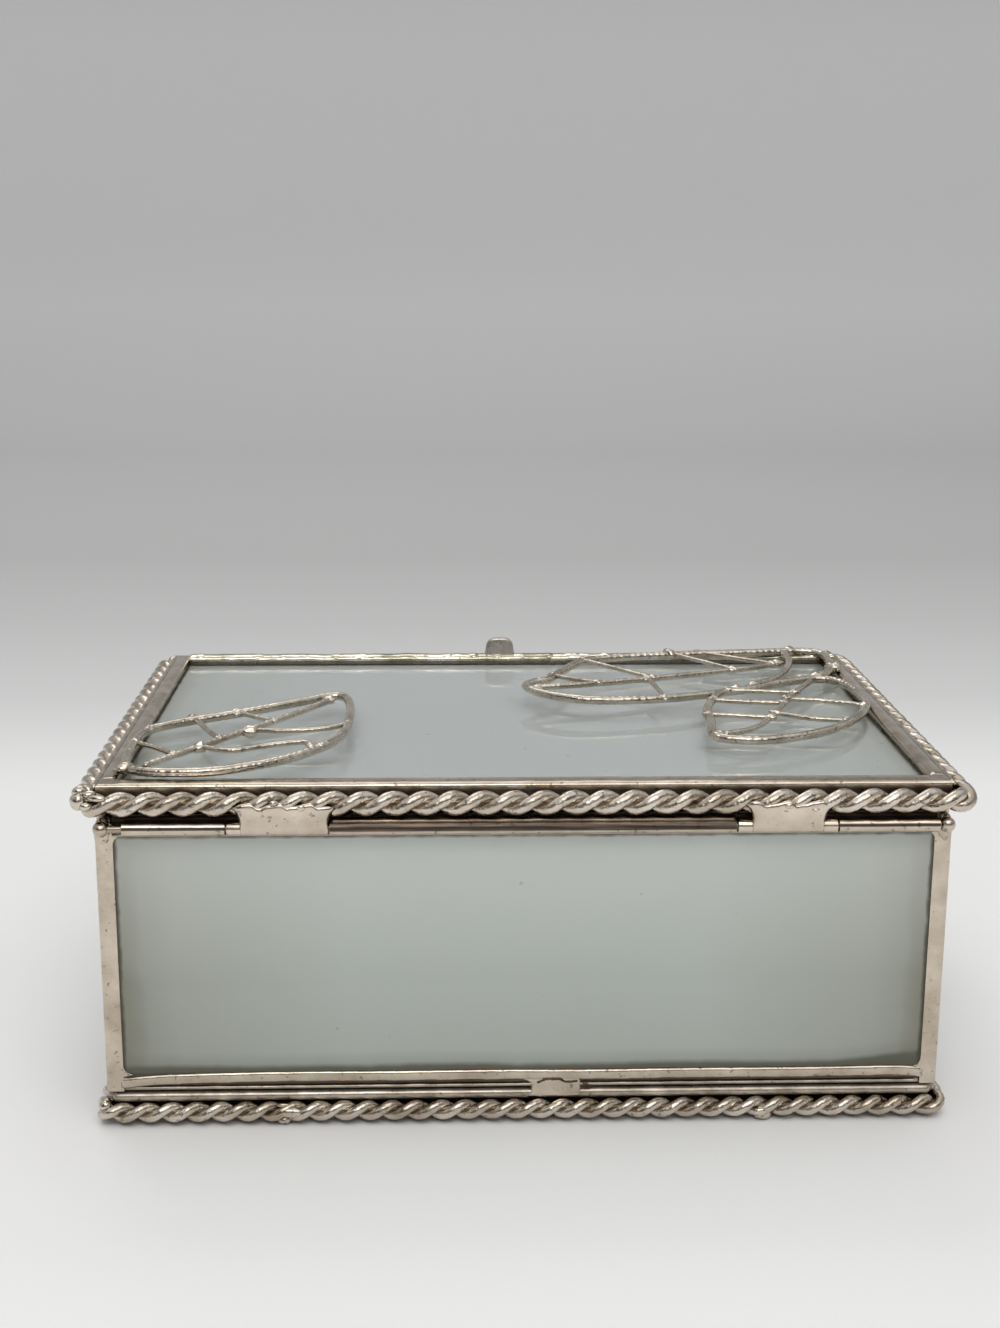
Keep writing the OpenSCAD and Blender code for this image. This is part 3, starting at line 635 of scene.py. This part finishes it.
def curve(points, count, closed=False):
    """A smooth curve through points, with count steps from each to the next."""
    last = len(points) - 1
    line = []
    for i in range(len(points) if closed else last):
        p, q, r, s = [points[(i + k) % len(points)] if closed else points[min(max(i + k, 0), last)]
                      for k in (-1, 0, 1, 2)]
        for t in (k / count for k in range(count)):
            line.append(tuple(
                0.5 * (2 * q[c] + (r[c] - p[c]) * t + (2 * p[c] - 5 * q[c] + 4 * r[c] - s[c]) * t * t
                       + (3 * q[c] - p[c] - 3 * r[c] + s[c]) * t ** 3)
                for c in (X, Y)))
    if not closed:
        line.append(tuple(points[-1]))
    return line


def even(line, step, closed=False):
    """The same line with points a fixed step apart, and its length so far at each."""
    points = np.array(line + [line[0]] if closed else line, float)
    run = np.concatenate([[0], np.cumsum(np.linalg.norm(np.diff(points, axis=0), axis=1))])
    count = max(4, int(round(run[-1] / step)))
    at = np.linspace(0, run[-1], count + 1)
    spaced = np.stack([np.interp(at, run, points[:, c]) for c in (X, Y)], 1)
    if closed:
        spaced, at = spaced[:-1], at[:-1]
    return [tuple(p) for p in spaced], at


# Each leaf in plan, seen from above with the hinge at the bottom
LEAVES = {
    "left_leaf": dict(
        outline=[(-71, -20), (-66, -13.5), (-55.5, -7.5), (-44, 0), (-36.5, 5), (-33.5, 1),
                 (-32.5, -12), (-34, -27), (-41.5, -38.5), (-52, -45), (-60.5, -46), (-68.5, -44),
                 (-71, -38)],
        closed=True,
        midrib=[(-67, -41.5), (-61, -33), (-51.5, -20), (-44, -9.5), (-37.5, 0.5)],
        veins=[[(-63, -10.5), (-61.5, -13), (-58.5, -20.5), (-56, -25.5)],
               [(-55, -6.5), (-51, -10.5), (-47, -14)],
               [(-32.5, -17), (-36.5, -20.5), (-44, -21.5), (-51.5, -20)],
               [(-37, -33), (-40.5, -29.5), (-47, -31.5), (-53, -34), (-59, -30.5)],
               [(-71.5, -26.5), (-67, -30.5), (-63, -35.5)]]),
    "large_leaf": dict(
        outline=[(42, 6.6), (39, 5), (33.5, 2.5), (25, 0), (16, -1), (9.5, 1), (4.5, 5), (2.5, 9.5),
                 (4, 12.5), (7.5, 15.5), (10.5, 22.5), (16, 32.5), (24, 37), (38, 41), (57, 45),
                 (66.5, 47), (71, 44.5), (71, 37), (69.5, 29), (66.5, 24)],
        closed=False,
        stalk=[(62.5, 44.5), (62, 36.5), (59, 26.5), (54.5, 18.5), (51, 14.5)],
        midrib=[(5, 8.5), (13.5, 11), (28, 17), (40.5, 23), (51, 28.5), (60, 34.5)],
        veins=[[(16, 33), (22, 26.5), (29.5, 17.5)], [(36.5, 41), (41, 35.5), (48, 27)],
               [(42.5, 42.5), (49, 38.5), (57.5, 33)], [(30, 1), (29.5, 9), (28.5, 17.5)],
               [(8.5, 18.5), (13, 15), (17.5, 12.5)]]),
    "right_leaf": dict(
        outline=[(64.5, 20.5), (55, 15.5), (48, 10), (42.5, 7), (40, 1.5), (37.5, -7), (37, -16),
                 (36, -25), (39, -28), (46, -28), (56.5, -22.5), (65, -13), (70.5, -1), (71, 10),
                 (69, 18.5)],
        closed=True,
        midrib=[(38.5, -25), (44.5, -20.5), (50, -10.5), (56, 4), (63, 18)],
        veins=[[(44, 8), (49.5, 8), (57.5, 7)], [(39.5, 0), (46, -1), (53.5, -1.5)],
               [(37, -11.5), (42.5, -12), (49, -13)], [(70, -2), (62.5, 1), (55, 2)],
               [(64, -14), (57, -13), (50.5, -9.5)]]),
}
JOINT_DROPS = [   # plan place and radius of the larger drops of solder on the wires
    (-50.8, -20.6, 1.45), (-58.9, -30.7, 1.25), (-70.4, -17.5, 1.0), (-63, -10.0, 1.0),
    (-38.6, -32, 0.9), (-70.6, -42.6, 1.4), (-54.6, -7.6, 0.9), (-37.4, 1.4, 1.1),
    (28.4, 17.6, 1.15), (47.6, 26.8, 1.1), (58.6, 33.8, 1.2), (45.8, 9.6, 1.2), (61.6, 20.4, 1.1),
    (65.2, 21.6, 1.5), (70.6, 31, 1.5), (50.2, 13.2, 1.3), (36, 41, 1.5), (30.4, 2.2, 0.9),
    (63.6, -14.4, 1.15), (4.6, 7, 1.1), (36.9, -26.2, 1.35), (64, 46.6, 1.4), (40, 1, 1.0),
    (69.8, -2.2, 1.1),
]


def lay_wire(shape, plan, wire_r, seed, sides=12, closed=False, lift=0.0):
    """One bent wire of a leaf, with the small beads that tinning leaves on it."""
    line, at = even(curve(plan, 10, closed), WIRE_STEP, closed)

    def radius(i):
        s = at[i]
        bead = math.sin(2 * math.pi * s / BEAD_SPACING + wander(1.5, s * 0.2, seed, 1))
        strength = 0.04 + wander(0.04, s * 0.06, seed, 7)
        return wire_r * (1 + wander(0.07, s * 0.25, seed, 0) + strength * bead)

    shape.tube([(x, y, leaf_z(x) + lift) for x, y in line], radius, sides, closed)


def wire(name, plan, wire_r, **laying):
    """One wire as a piece of its own, in place of the node of that name."""
    shape = Shape()
    lay_wire(shape, plan, wire_r, **laying)
    shape.build(name + "_wire", LEAF_WIRE, "lid", (name,))


def leaf(name, plan, joints, draws):
    """The wires of a leaf, and a drop of solder at each end of its veins."""
    wire(name + "_outline", plan["outline"], OUTLINE_R, seed=1, sides=14, closed=plan["closed"])
    if "stalk" in plan:
        wire(name + "_stalk", plan["stalk"], STALK_R, seed=2, sides=14)
    wire(name + "_midrib", plan["midrib"], MIDRIB_R, seed=3, lift=0.1)
    veins = Shape()
    for k, vein in enumerate(plan["veins"]):
        lay_wire(veins, vein, VEIN_R, seed=5 + k, sides=10, lift=0.25)
        for end, inner in ((vein[0], vein[1]), (vein[-1], vein[-2])):
            joints.drop((end[X], end[Y], leaf_z(end[X]) + 0.3), draws.uniform(0.72, 0.98),
                        (1.35, 1, 0.8), turn=math.atan2(inner[Y] - end[Y], inner[X] - end[X]),
                        seed=draws.randint(0, 99), lump=0.3)
    veins.build(name + "_vein_wires", LEAF_WIRE, "lid", (name + "_veins",))


joint_draws = random.Random(7)
joints = Shape()
for name, plan in LEAVES.items():
    leaf(name, plan, joints, joint_draws)
for k, (x, y, r) in enumerate(JOINT_DROPS):
    joints.drop((x, y, leaf_z(x) + 0.1), r, (1.25, 1, 0.8), turn=k * 1.3, seed=k, lump=0.25)
joints.build("leaf_solder_drops", DROP, "lid")


# ---------------- solder along the sides
def side_frame(side, w, d):
    """Turns (along, inwards, up) of one side of the box into x, y and z."""
    return {
        "back": lambda s, i, z: (s, -d + i, z), "front": lambda s, i, z: (-s, d - i, z),
        "left": lambda s, i, z: (-w + i, -s, z), "right": lambda s, i, z: (w - i, s, z),
    }[side]


def side_half(side, w, d):
    return w if side in ("back", "front") else d


def crown(shape, side, half, outer, inner, height, dip, lump, waves, seed):
    """Solder over a flange of the lid: rounded, lumpy along its length with so many waves a
    millimetre, and falling by dip towards the glass."""
    to = side_frame(side, LID_W, LID_D)
    across = 12
    rings = []
    for s in steps(-half, half, int(2 * half / 0.6)):
        end = max(0.0, min(1.0, (half - abs(s)) / 1.2)) ** 0.5
        rise = height * end * (1 + wander(lump, s * waves, seed, 0)
                               + wander(0.35 * lump, s * waves * 3.1, seed, 2))
        edge = wander(0.12, s * 0.5, seed, 5)
        ring = []
        for u in steps(-1, 1, across):
            fall = 1 - math.sqrt(max(0.0, 1 - u * u))
            z = LID_TOP - 0.06 + rise - (rise if u < 0 else rise + dip) * fall
            ring.append(to(s, (outer + inner) / 2 + u * ((inner - outer) / 2 + edge), z))
        ring.append(to(s, inner - 0.5, LID_TOP - dip - 0.1))
        ring.append(to(s, outer + 0.5, LID_TOP - 0.3))
        rings.append(ring)
    shape.rings(rings)


def bead(shape, side, w, d, half, inwards, z, radius, lump, waves, seed):
    """A round run of solder along a side."""
    to = side_frame(side, w, d)
    line = [to(s, inwards, z) for s in steps(-half, half, int(2 * half / 0.7))]
    shape.tube(line, lambda i: radius * (1 + wander(lump, i * 0.7 * waves, seed, 0)), sides=10)


def drops(shape, places, seed):
    """Drops of solder, each with its place, radius, stretch and turn."""
    for k, (x, y, z, radius, stretch, turn) in enumerate(places):
        shape.drop((x, y, z), radius, stretch, turn=turn, seed=seed + k)


def far_edge_solder():
    """The long run at the edge that opens: a crown, blobs along it, and more in one corner."""
    shape = Shape()
    crown(shape, "front", half=71.9, outer=0.4, inner=4.15, height=0.66, dip=0.55, lump=0.4,
          waves=0.16, seed=11)
    draws = random.Random(21)
    x = -70.5
    while x < 70:
        half_length = draws.uniform(1.4, 2.6)
        shape.drop((x + half_length, 47.1, LID_TOP - 0.02), 1.0,
                   (half_length, 1.5, draws.uniform(0.68, 0.84)), seed=int(x + 90), lump=0.1)
        x += 2 * half_length + draws.uniform(0.8, 3.0)
    for x, y, r in ((68.2, 47.6, 1.05), (70.6, 47.2, 1.15), (72.4, 46.2, 1.1), (73.1, 44.0, 0.95)):
        shape.drop((x, y, LID_TOP + 0.3), r, (1.3, 1.2, 0.9), turn=-0.3, seed=int(x))
    shape.build("lid_far_crown", FAR_EDGE, "lid")


def lid_edge_solder():
    """The lower runs on the other three edges of the lid, and a bead outside each short one."""
    shape = Shape()
    short = dict(half=45.9, outer=0.35, inner=3.3, lump=0.25, waves=0.08)
    crown(shape, "right", height=0.35, dip=0.85, seed=12, **short)
    crown(shape, "left", height=0.2, dip=0.9, seed=13, **short)
    crown(shape, "back", half=71.6, outer=0.5, inner=3.9, height=0.16, dip=0.1, lump=0.35,
          waves=0.12, seed=14)
    for side, z, r, seed in (("left", -0.8, 0.6, 21), ("right", -0.75, 0.62, 22)):
        bead(shape, side, LID_W, LID_D, 48.4, -0.35, LID_TOP + z, r, 0.3, 0.35, seed)
    shape.build("lid_edge_crowns", CHANNEL, "lid")


def lid_rope_solder():
    """The rope's joined ends at the back left corner, and curls of solder above the two plates."""
    shape = Shape()
    drops(shape, [
        (-76.9, -52.3, 61.5, 1.35, (1, 1, 1.15), 0.0),
        (-76.6, -51.2, 63.0, 1.15, (1.2, 1, 0.9), 0.6),
        (-75.4, -53.0, 60.9, 0.85, (1.3, 0.9, 0.9), 0.2),
        (-73.6, -53.1, 62.3, 0.75, (2.2, 0.8, 0.8), -0.2),
        (-75.0, -51.8, 62.6, 0.9, (1.3, 0.9, 0.8), 0.4),
        (-77.6, -49.6, 62.3, 1.0, (0.9, 1.3, 0.9), 0.0),
        (-43.4, -54.0, 61.6, 0.55, (1.5, 0.8, 0.8), 0.4),
        (-38.8, -54.0, 60.7, 0.55, (1.2, 0.8, 1.0), 0.0),
        (45.0, -54.0, 60.6, 0.55, (1.3, 0.8, 0.9), 0.0),
        (49.7, -54.0, 59.9, 0.5, (1.4, 0.8, 0.7), 0.0),
    ], seed=31)
    shape.build("lid_rope_drops", DROP, "lid")


far_edge_solder()
lid_edge_solder()
lid_rope_solder()

# ---------------- hinge knuckles
PLATE = (   # y and z up the outer face of a plate, from the foot of the tube
    (-51.9, 55.03), (-52.35, 55.17), (-52.68, 55.45), (-52.93, 55.9), (-53.08, 56.4),
    (-53.25, 57.0), (-53.5, 57.8), (-53.75, 58.6), (-53.92, 59.3), (-53.99, 59.8))
LIP = (     # y, and z below the top edge, over the edge that ends between the strands
    (-54.0, 0.62), (-53.93, 0.34), (-53.76, 0.13))
PLATE_BACK = ((-53.1, 60.0), (-53.0, 58.8), (-52.5, 57.4), (-52.1, 56.3))
PLATE_TOP = 60.75
STRAND_STEP, STRAND_CLIMB = 5.15, 0.95   # the rope's strands along a plate, and how high they climb
FLARE, FLARE_Z = 0.9, 57.6               # how far a plate's sides curve out, and from which height
TUBE_R, BORE_R, BEVEL = 1.3, 0.75, 0.08
LEFT_PLATE_LENGTH, RIGHT_PLATE_INSET = 15.0, 2.55


def knuckle_tube(shape, x0, x1):
    """A hollow tube round the rod, with bevelled ends."""
    profile = ((x0 + BEVEL, TUBE_R - 0.02), (x0 + 2 * BEVEL, TUBE_R), (x1 - 2 * BEVEL, TUBE_R),
               (x1 - BEVEL, TUBE_R - 0.02), (x1, BORE_R), (x0, BORE_R))
    shape.rings([[(x, HINGE_Y + r * math.cos(q), HINGE_Z + r * math.sin(q)) for x, r in profile]
                 for q in turns(28)], closed=True)


def plate(shape, x0, x1, seed):
    """The strap that runs up from the tube's foot and is soldered between the rope's strands."""
    rings = []
    for x in steps(x0, x1, int((x1 - x0) / 0.3)):
        end = max(0.0, 1 - min(x - x0, x1 - x) / 0.7)
        hollow = 0.5 * end * end
        curl = 0.4 * end * end
        ring = []
        for y, z in PLATE:
            up = min(1.0, max(0.0, z - 56.2) / 1.5)
            ring.append((x, y + hollow * up + wander(0.05, x * 0.4, seed, z * 0.3), z))
        climb = (x / STRAND_STEP) % 1.0
        climb = climb if climb < 0.8 else 4 * (1 - climb)
        top = PLATE_TOP + STRAND_CLIMB * climb + wander(0.2, x * 0.8, seed, 1) - 0.5 * end
        ring += [(x, curl + y, top - low) for y, low in LIP]
        ring += [(x, -53.5, top), (x, -53.2, top - 0.05)]
        ring += [(x, y, z) for y, z in PLATE_BACK]
        side = (2 * (x - x0) / (x1 - x0) - 1) ** 9
        rings.append([(x + FLARE * side * max(0.0, (z - FLARE_Z) / 2.6) ** 2, y, z)
                      for x, y, z in ring])
    shape.rings(rings)


def knuckle(name, tube, strap, seed):
    shape = Shape()
    knuckle_tube(shape, *tube)
    plate(shape, *strap, seed)
    shape.build(name + "_metal", PLATE_METAL, "lid", (name,))


(x0, _, _), (x1, _, _) = corners("hinge_knuckle_left")
knuckle("hinge_knuckle_left", (x0, x1), (x1 - LEFT_PLATE_LENGTH, x1), seed=3)
(x0, _, _), (x1, _, _) = corners("hinge_knuckle_right")
knuckle("hinge_knuckle_right", (x0, x1), (x0 + RIGHT_PLATE_INSET, x1 - RIGHT_PLATE_INSET), seed=8)


# ---------------- thumb tab
def thumb_tab():
    """A flat tab with a domed top and rounded edges."""
    lo, hi = corners("thumb_tab")
    dome_r, taper = 1.7, 0.6
    shoulder = hi[Z] - dome_r
    rows = [(z, 0.0) for z in steps(lo[Z], shoulder, 6)]
    for a in range(10, 91, 10):
        rows.append((shoulder + dome_r * math.sin(math.radians(a)), 1 - math.cos(math.radians(a))))
    rings = []
    for z, shrink in rows:
        wide = (hi[X] - lo[X]) / 2 - taper * (z - lo[Z]) / (hi[Z] - lo[Z]) - dome_r * shrink
        thick = (hi[Y] - lo[Y]) / 2 * (1 - 0.45 * shrink ** 2)
        ring = []
        for q in turns(32):
            x = wide * math.copysign(abs(math.cos(q)) ** 0.35, math.cos(q))
            y = thick * math.copysign(abs(math.sin(q)) ** 0.6, math.sin(q))
            ring.append(((lo[X] + hi[X]) / 2 + x, (lo[Y] + hi[Y]) / 2 + y, z))
        rings.append(ring)
    shape = Shape()
    shape.rings(rings)
    shape.build("thumb_tab_metal", TAB_METAL, "lid", ("thumb_tab",))


thumb_tab()

# ---------------- solder on the walls
POST_WIDTH = HALF_W - POST_IN_W
RIDGE = 9.4                       # height of the bead at the foot of a wall
POST_SHOULDER = (1.55, (0.95, 0.8, 1.7), 0.0)


def web(shape, side, end, up, radius):
    """A concave web of solder where a post meets a rail, in front of the glass edge. End and up
    are 1 or -1: which end of the side, and whether the web rises from the bottom rail."""
    to = side_frame(side, HALF_W, HALF_D)
    s0 = end * (side_half(side, HALF_W, HALF_D) - POST_WIDTH)
    z0 = 9.6 if up > 0 else GLASS_HIGH
    arc = [(radius - radius * math.cos(q), radius - radius * math.sin(q))
           for q in steps(0, math.pi / 2, 8)]
    rings = []
    for depth, grow in ((0.42, 1.12), (0.12, 1.0), (0.03, 0.86)):
        ring = [to(s0 - end * a * grow, depth, z0 + up * b * grow) for a, b in arc]
        ring.append(to(s0 + end * 0.6, depth, z0 - up * 0.5))
        rings.append(ring)
    shape.rings(rings)


def corner_webs():
    shape = Shape()
    draws = random.Random(12)
    for side in SIDES:
        for end in (-1, 1):
            web(shape, side, end, 1, draws.uniform(1.6, 2.1))
            web(shape, side, end, -1, draws.uniform(1.4, 2.0))
    shape.build("corner_webs", RUN, "box")


def foot_bead(shape, side, seed, droop):
    """The light run of solder along the foot of a wall: a rounded ridge over an upright face.
    Droop is a depth and a length for each end of the side."""
    to = side_frame(side, HALF_W, HALF_D)
    half = side_half(side, HALF_W, HALF_D) - 2.7
    rings = []
    for s in steps(-half, half, int(2 * half / 0.6)):
        z = RIDGE + wander(0.22, s * 0.035, seed, 0) + wander(0.05, s * 0.9, seed, 1)
        for end, (depth, length) in zip((s + half, half - s), droop):
            z -= depth * math.exp(-end / length)
        out = 0.12 * min(1.0, (half - abs(s)) / 0.9) + wander(0.04, s * 0.6, seed, 3)
        low = z - 1.55 + wander(0.1, s * 0.25, seed, 5)
        rings.append([to(s, inwards, height) for inwards, height in (
            (0.34, z + 0.42), (0.12, z + 0.34), (-0.6 * out, z + 0.12), (-out, z - 0.1),
            (-out, z - 0.6), (-0.9 * out, low + 0.3), (0.1, low), (0.5, low), (0.5, z))])
    shape.rings(rings)


def wall_solder():
    """The foot beads, a drop at each end of the hinge, and the shoulders of the back posts."""
    shape = Shape()
    foot_bead(shape, "back", 41, droop=((1.1, 7.0), (0.6, 1.6)))
    foot_bead(shape, "front", 42, droop=((0.7, 3.0), (0.8, 5.0)))
    foot_bead(shape, "left", 43, droop=((0.6, 2.0), (0.9, 4.0)))
    foot_bead(shape, "right", 44, droop=((0.8, 4.0), (0.6, 2.0)))
    drops(shape, [
        (72.7, -51.2, 56.2, 0.8, (1.2, 0.9, 0.9), 0.0),
        (-69.9, -50.25, 54.9, 0.5, (3.0, 0.5, 0.7), 0.0),
        (-73.5, -49.4, 55.2, *POST_SHOULDER),
        (73.5, -49.4, 55.2, *POST_SHOULDER),
    ], seed=51)
    shape.build("wall_solder_runs", RUN, "box")


def middle_tube_solder():
    """Solder lies along the top of the middle tube, up to the rail behind it."""
    lo, hi = corners("hinge_tube_centre")
    rings = []
    for x in steps(lo[X] + 0.2, hi[X] - 0.2, 120):
        lump = wander(0.07, x * 0.25, 1, 0)
        rings.append([(x, -52.28, 57.4), (x, -52.22, 57.75 + lump), (x, -51.9, 58.0 + lump),
                      (x, -51.4, 58.12 + lump), (x, -50.1, 58.2), (x, -50.1, 57.4)])
    shape = Shape()
    shape.rings(rings)
    shape.build("middle_tube_solder", TUBE_FILL, "box")


corner_webs()
wall_solder()
middle_tube_solder()

# ---------------- solder round the base
TACK_LEFT, TACK_RIGHT = 1.1, 10.3   # the tack plate's ends along its side
TACK_LOW, TACK_TOP = 4.6, 8.3
SEAM = [(2.4, 7.4), (3.0, 7.65), (3.85, 8.0), (6.4, 8.0), (7.2, 7.5), (8.3, 7.45), (9.4, 7.6)]
NOTCH_RIM = ((10.3, -50.0, 7.4), (12.2, -49.7, 7.2), (12.4, -49.3, 5.2), (10.4, -49.4, 5.0))
NOTCH_TIP = (11.2, -50.3, 6.4)
FOOT_R, BIG_FOOT_R = 1.1, 1.4       # the back right foot is the largest


def base_edge_bars():
    """A bar of solder along the top edge of the base channel, and a thin ridge over it."""
    shape = Shape()
    for k, side in enumerate(SIDES):
        half = side_half(side, BASE_W, BASE_D) - 0.4
        bead(shape, side, BASE_W, BASE_D, half, -0.66, 5.05, 0.92, 0.08, 0.12, 61 + k)
        bead(shape, side, HALF_W, HALF_D, half - 2.4, 0.24, 6.9, 0.24, 0.5, 0.3, 65 + k)
    shape.build("base_edge_bars", EDGE_BAR, "box")


def tack_plate(shape, side):
    """A flat patch of solder from the foot bead down to the rope, with a hollow left edge."""
    to = side_frame(side, HALF_W, HALF_D)
    rings = []
    for share in steps(0, 1, 12):
        z = TACK_LOW + (TACK_TOP - TACK_LOW) * share
        depth = -0.17 + 0.15 * share ** 6
        left = TACK_LEFT - 2.2 * min(1.0, abs(z - 6.3) / 1.8) ** 3
        row = steps(left, TACK_RIGHT, 16)
        ring = [to(s, depth + wander(0.03, s * 0.8, z, 9) + (0.4 if s in (row[0], row[-1]) else 0.0), z)
                for s in row]
        rings.append(ring + [to(s, 1.2, z) for s in (row[-1], row[0])])
    shape.rings(rings)


def tack_plates():
    shape = Shape()
    for side in SIDES:
        tack_plate(shape, side)
    shape.build("tack_plates", RUN, "box")


def tack_seam():
    """The dark seam and notch at the tack that the photograph shows."""
    shape = Shape()
    line = [(x, -50.1, z) for x, z in even(SEAM, 0.3)[0]]
    shape.tube(line, lambda i: 0.22 + wander(0.14, i * 0.6, 4, 0), sides=8)
    base = len(shape.verts)
    tip = base + len(NOTCH_RIM)
    shape.verts += [*NOTCH_RIM, NOTCH_TIP]
    shape.faces += [(a, a + 1, tip) for a in range(base, tip - 1)] + [(tip - 1, base, tip)]
    shape.build("tack_seam", DARK, "box")


def base_rope_solder():
    """Drops that join the base rope to its channel, and its joined ends at one corner."""
    shape = Shape()
    drops(shape, [
        (-42.2, -51.5, 2.7, 1.25, (1.9, 0.66, 0.8), 0.0),
        (-43.4, -51.1, 3.9, 0.5, (2.4, 0.8, 0.8), 0.0),
        (42.6, -52.0, 2.1, 0.8, (1.5, 0.6, 0.9), 0.0),
        (-75.2, -50.4, 3.9, 1.0, (1.1, 1, 0.9), 0.0),
        (-75.9, -49.0, 3.2, 0.9, (0.9, 1.2, 0.9), 0.0),
        (43.6, 52.0, 2.6, 0.9, (1.5, 0.6, 1.0), 0.0),
        (-42.4, 52.0, 2.4, 0.9, (1.4, 0.6, 1.0), 0.0),
    ], seed=71)
    shape.build("base_rope_drops", DROP, "box")


def feet():
    """Each foot is a rounded button of solder under the rope."""
    names = [f"foot_{end}_{side}" for end in ("back", "front") for side in ("left", "right")]
    shape = Shape()
    for name in names:
        lo, hi = corners(name)
        x, y = (lo[X] + hi[X]) / 2, (lo[Y] + hi[Y]) / 2
        r = BIG_FOOT_R if name == "foot_back_right" else FOOT_R
        shape.drop((x, y - math.copysign(0.1, y), 0.75 * r), r, (1.2, 1.0, 0.95), seed=90, lump=0.1,
                   floor=0.0)
    shape.build("foot_buttons", DROP, "box", names)


base_edge_bars()
tack_plates()
tack_seam()
base_rope_solder()
feet()

# ---------------- stage
# Painted light and shade on the floor and backdrop, as greys that change with distance
FLOOR_LIGHT_AND_SHADE = (   # distance back along the floor and up the backdrop in metres, grey
    (-2.2, 176), (-1.2, 226), (-0.4, 255), (0.15, 252), (0.255, 224), (0.385, 207), (0.54, 196),
    (0.97, 202), (1.6, 236), (2.6, 255))
BACK_START, BACK_CURVE, BACK_TOP = 0.9, 2.2, 4.0   # the backdrop's foot, bending radius and top
SIDE_START, SIDE_CURVE, SIDE_ARC = 1.6, 1.0, 66    # the low rise at the other three sides


def floor_material():
    m = Mat("stage_floor", Roughness=0.9, Specular_IOR_Level=0.1)
    place = m.xyz()
    tone = m.graded(m.math("ADD", place[Y], place[Z]), [(at, srgb(g, g, g)) for at, g in FLOOR_LIGHT_AND_SHADE])
    m.feed(m.shader.inputs["Base Color"], tone)
    m.bump((m.noise(500, 2, 0.5), 0.05, 0.1))
    return m.material


def bend_up(start, radius, arc):
    """Places and heights along a floor that bends up from start."""
    return [(start + radius * math.sin(math.radians(a)), radius - radius * math.cos(math.radians(a)))
            for a in range(0, arc + 1, 6)]


def stage():
    """A floor that bends up on every side, highest at the back."""
    low = bend_up(SIDE_START, SIDE_CURVE, SIDE_ARC)
    near = [(-at, height) for at, height in low[::-1]] + [(0.0, 0.0)]
    across = near + low
    deep = near + bend_up(BACK_START, BACK_CURVE, 90) + [(BACK_START + BACK_CURVE, BACK_TOP)]
    k = len(deep)
    verts = [(x, y, max(side, back)) for x, side in across for y, back in deep]
    faces = [(a * k + b, (a + 1) * k + b, (a + 1) * k + b + 1, a * k + b + 1)
             for a in range(len(across) - 1) for b in range(k - 1)]
    mesh_object("stage_sweep", verts, faces, floor_material())


stage()


# ---------------- light
def room():
    """The room: bright above, dim in front of the box from the horizon up to half way."""
    world = bpy.data.worlds.new("studio")
    bpy.context.scene.world = world
    world.use_nodes = True
    light = Nodes(world.node_tree)
    direction = light.xyz("Generated")
    bright = light.ramp(direction[Z], (0.0, 0.40), (0.5, 0.62), (0.8, 1.0), (1.0, 1.15))
    dim = light.ramp(direction[Z], (0.0, 0.06), (0.5, 0.10), (0.72, 0.6), (0.85, 1.1))
    in_front = light.ramp(light.math("MULTIPLY", direction[Y], -1.0), (0.15, 0.0), (0.55, 1.0))
    background = light.tree.nodes["Background"]
    light.feed(background.inputs["Color"], light.mix(in_front, bright, dim))
    background.inputs["Strength"].default_value = 0.72


def lamp(name, place, size, watts, colour=(1, 1, 1)):
    """A rectangular lamp that points at the box."""
    light = bpy.data.lights.new(name, "AREA")
    light.shape = "RECTANGLE"
    light.size, light.size_y = size
    light.energy = watts
    light.color = colour
    holder = bpy.data.objects.new(name, light)
    holder.location = place
    holder.rotation_mode = "QUATERNION"
    holder.rotation_quaternion = (-Vector(place)).to_track_quat("-Z", "Y")
    bpy.context.scene.collection.objects.link(holder)


WARM = (1.0, 0.985, 0.965)
room()
lamp("softbox_front", (0.12, -0.80, 0.90), (1.3, 0.95), 4.2, WARM)
lamp("glint_front", (-0.10, -0.78, 0.95), (0.3, 0.25), 1.0, WARM)
lamp("softbox_rear", (-0.15, 0.75, 0.95), (0.8, 0.6), 2.2)
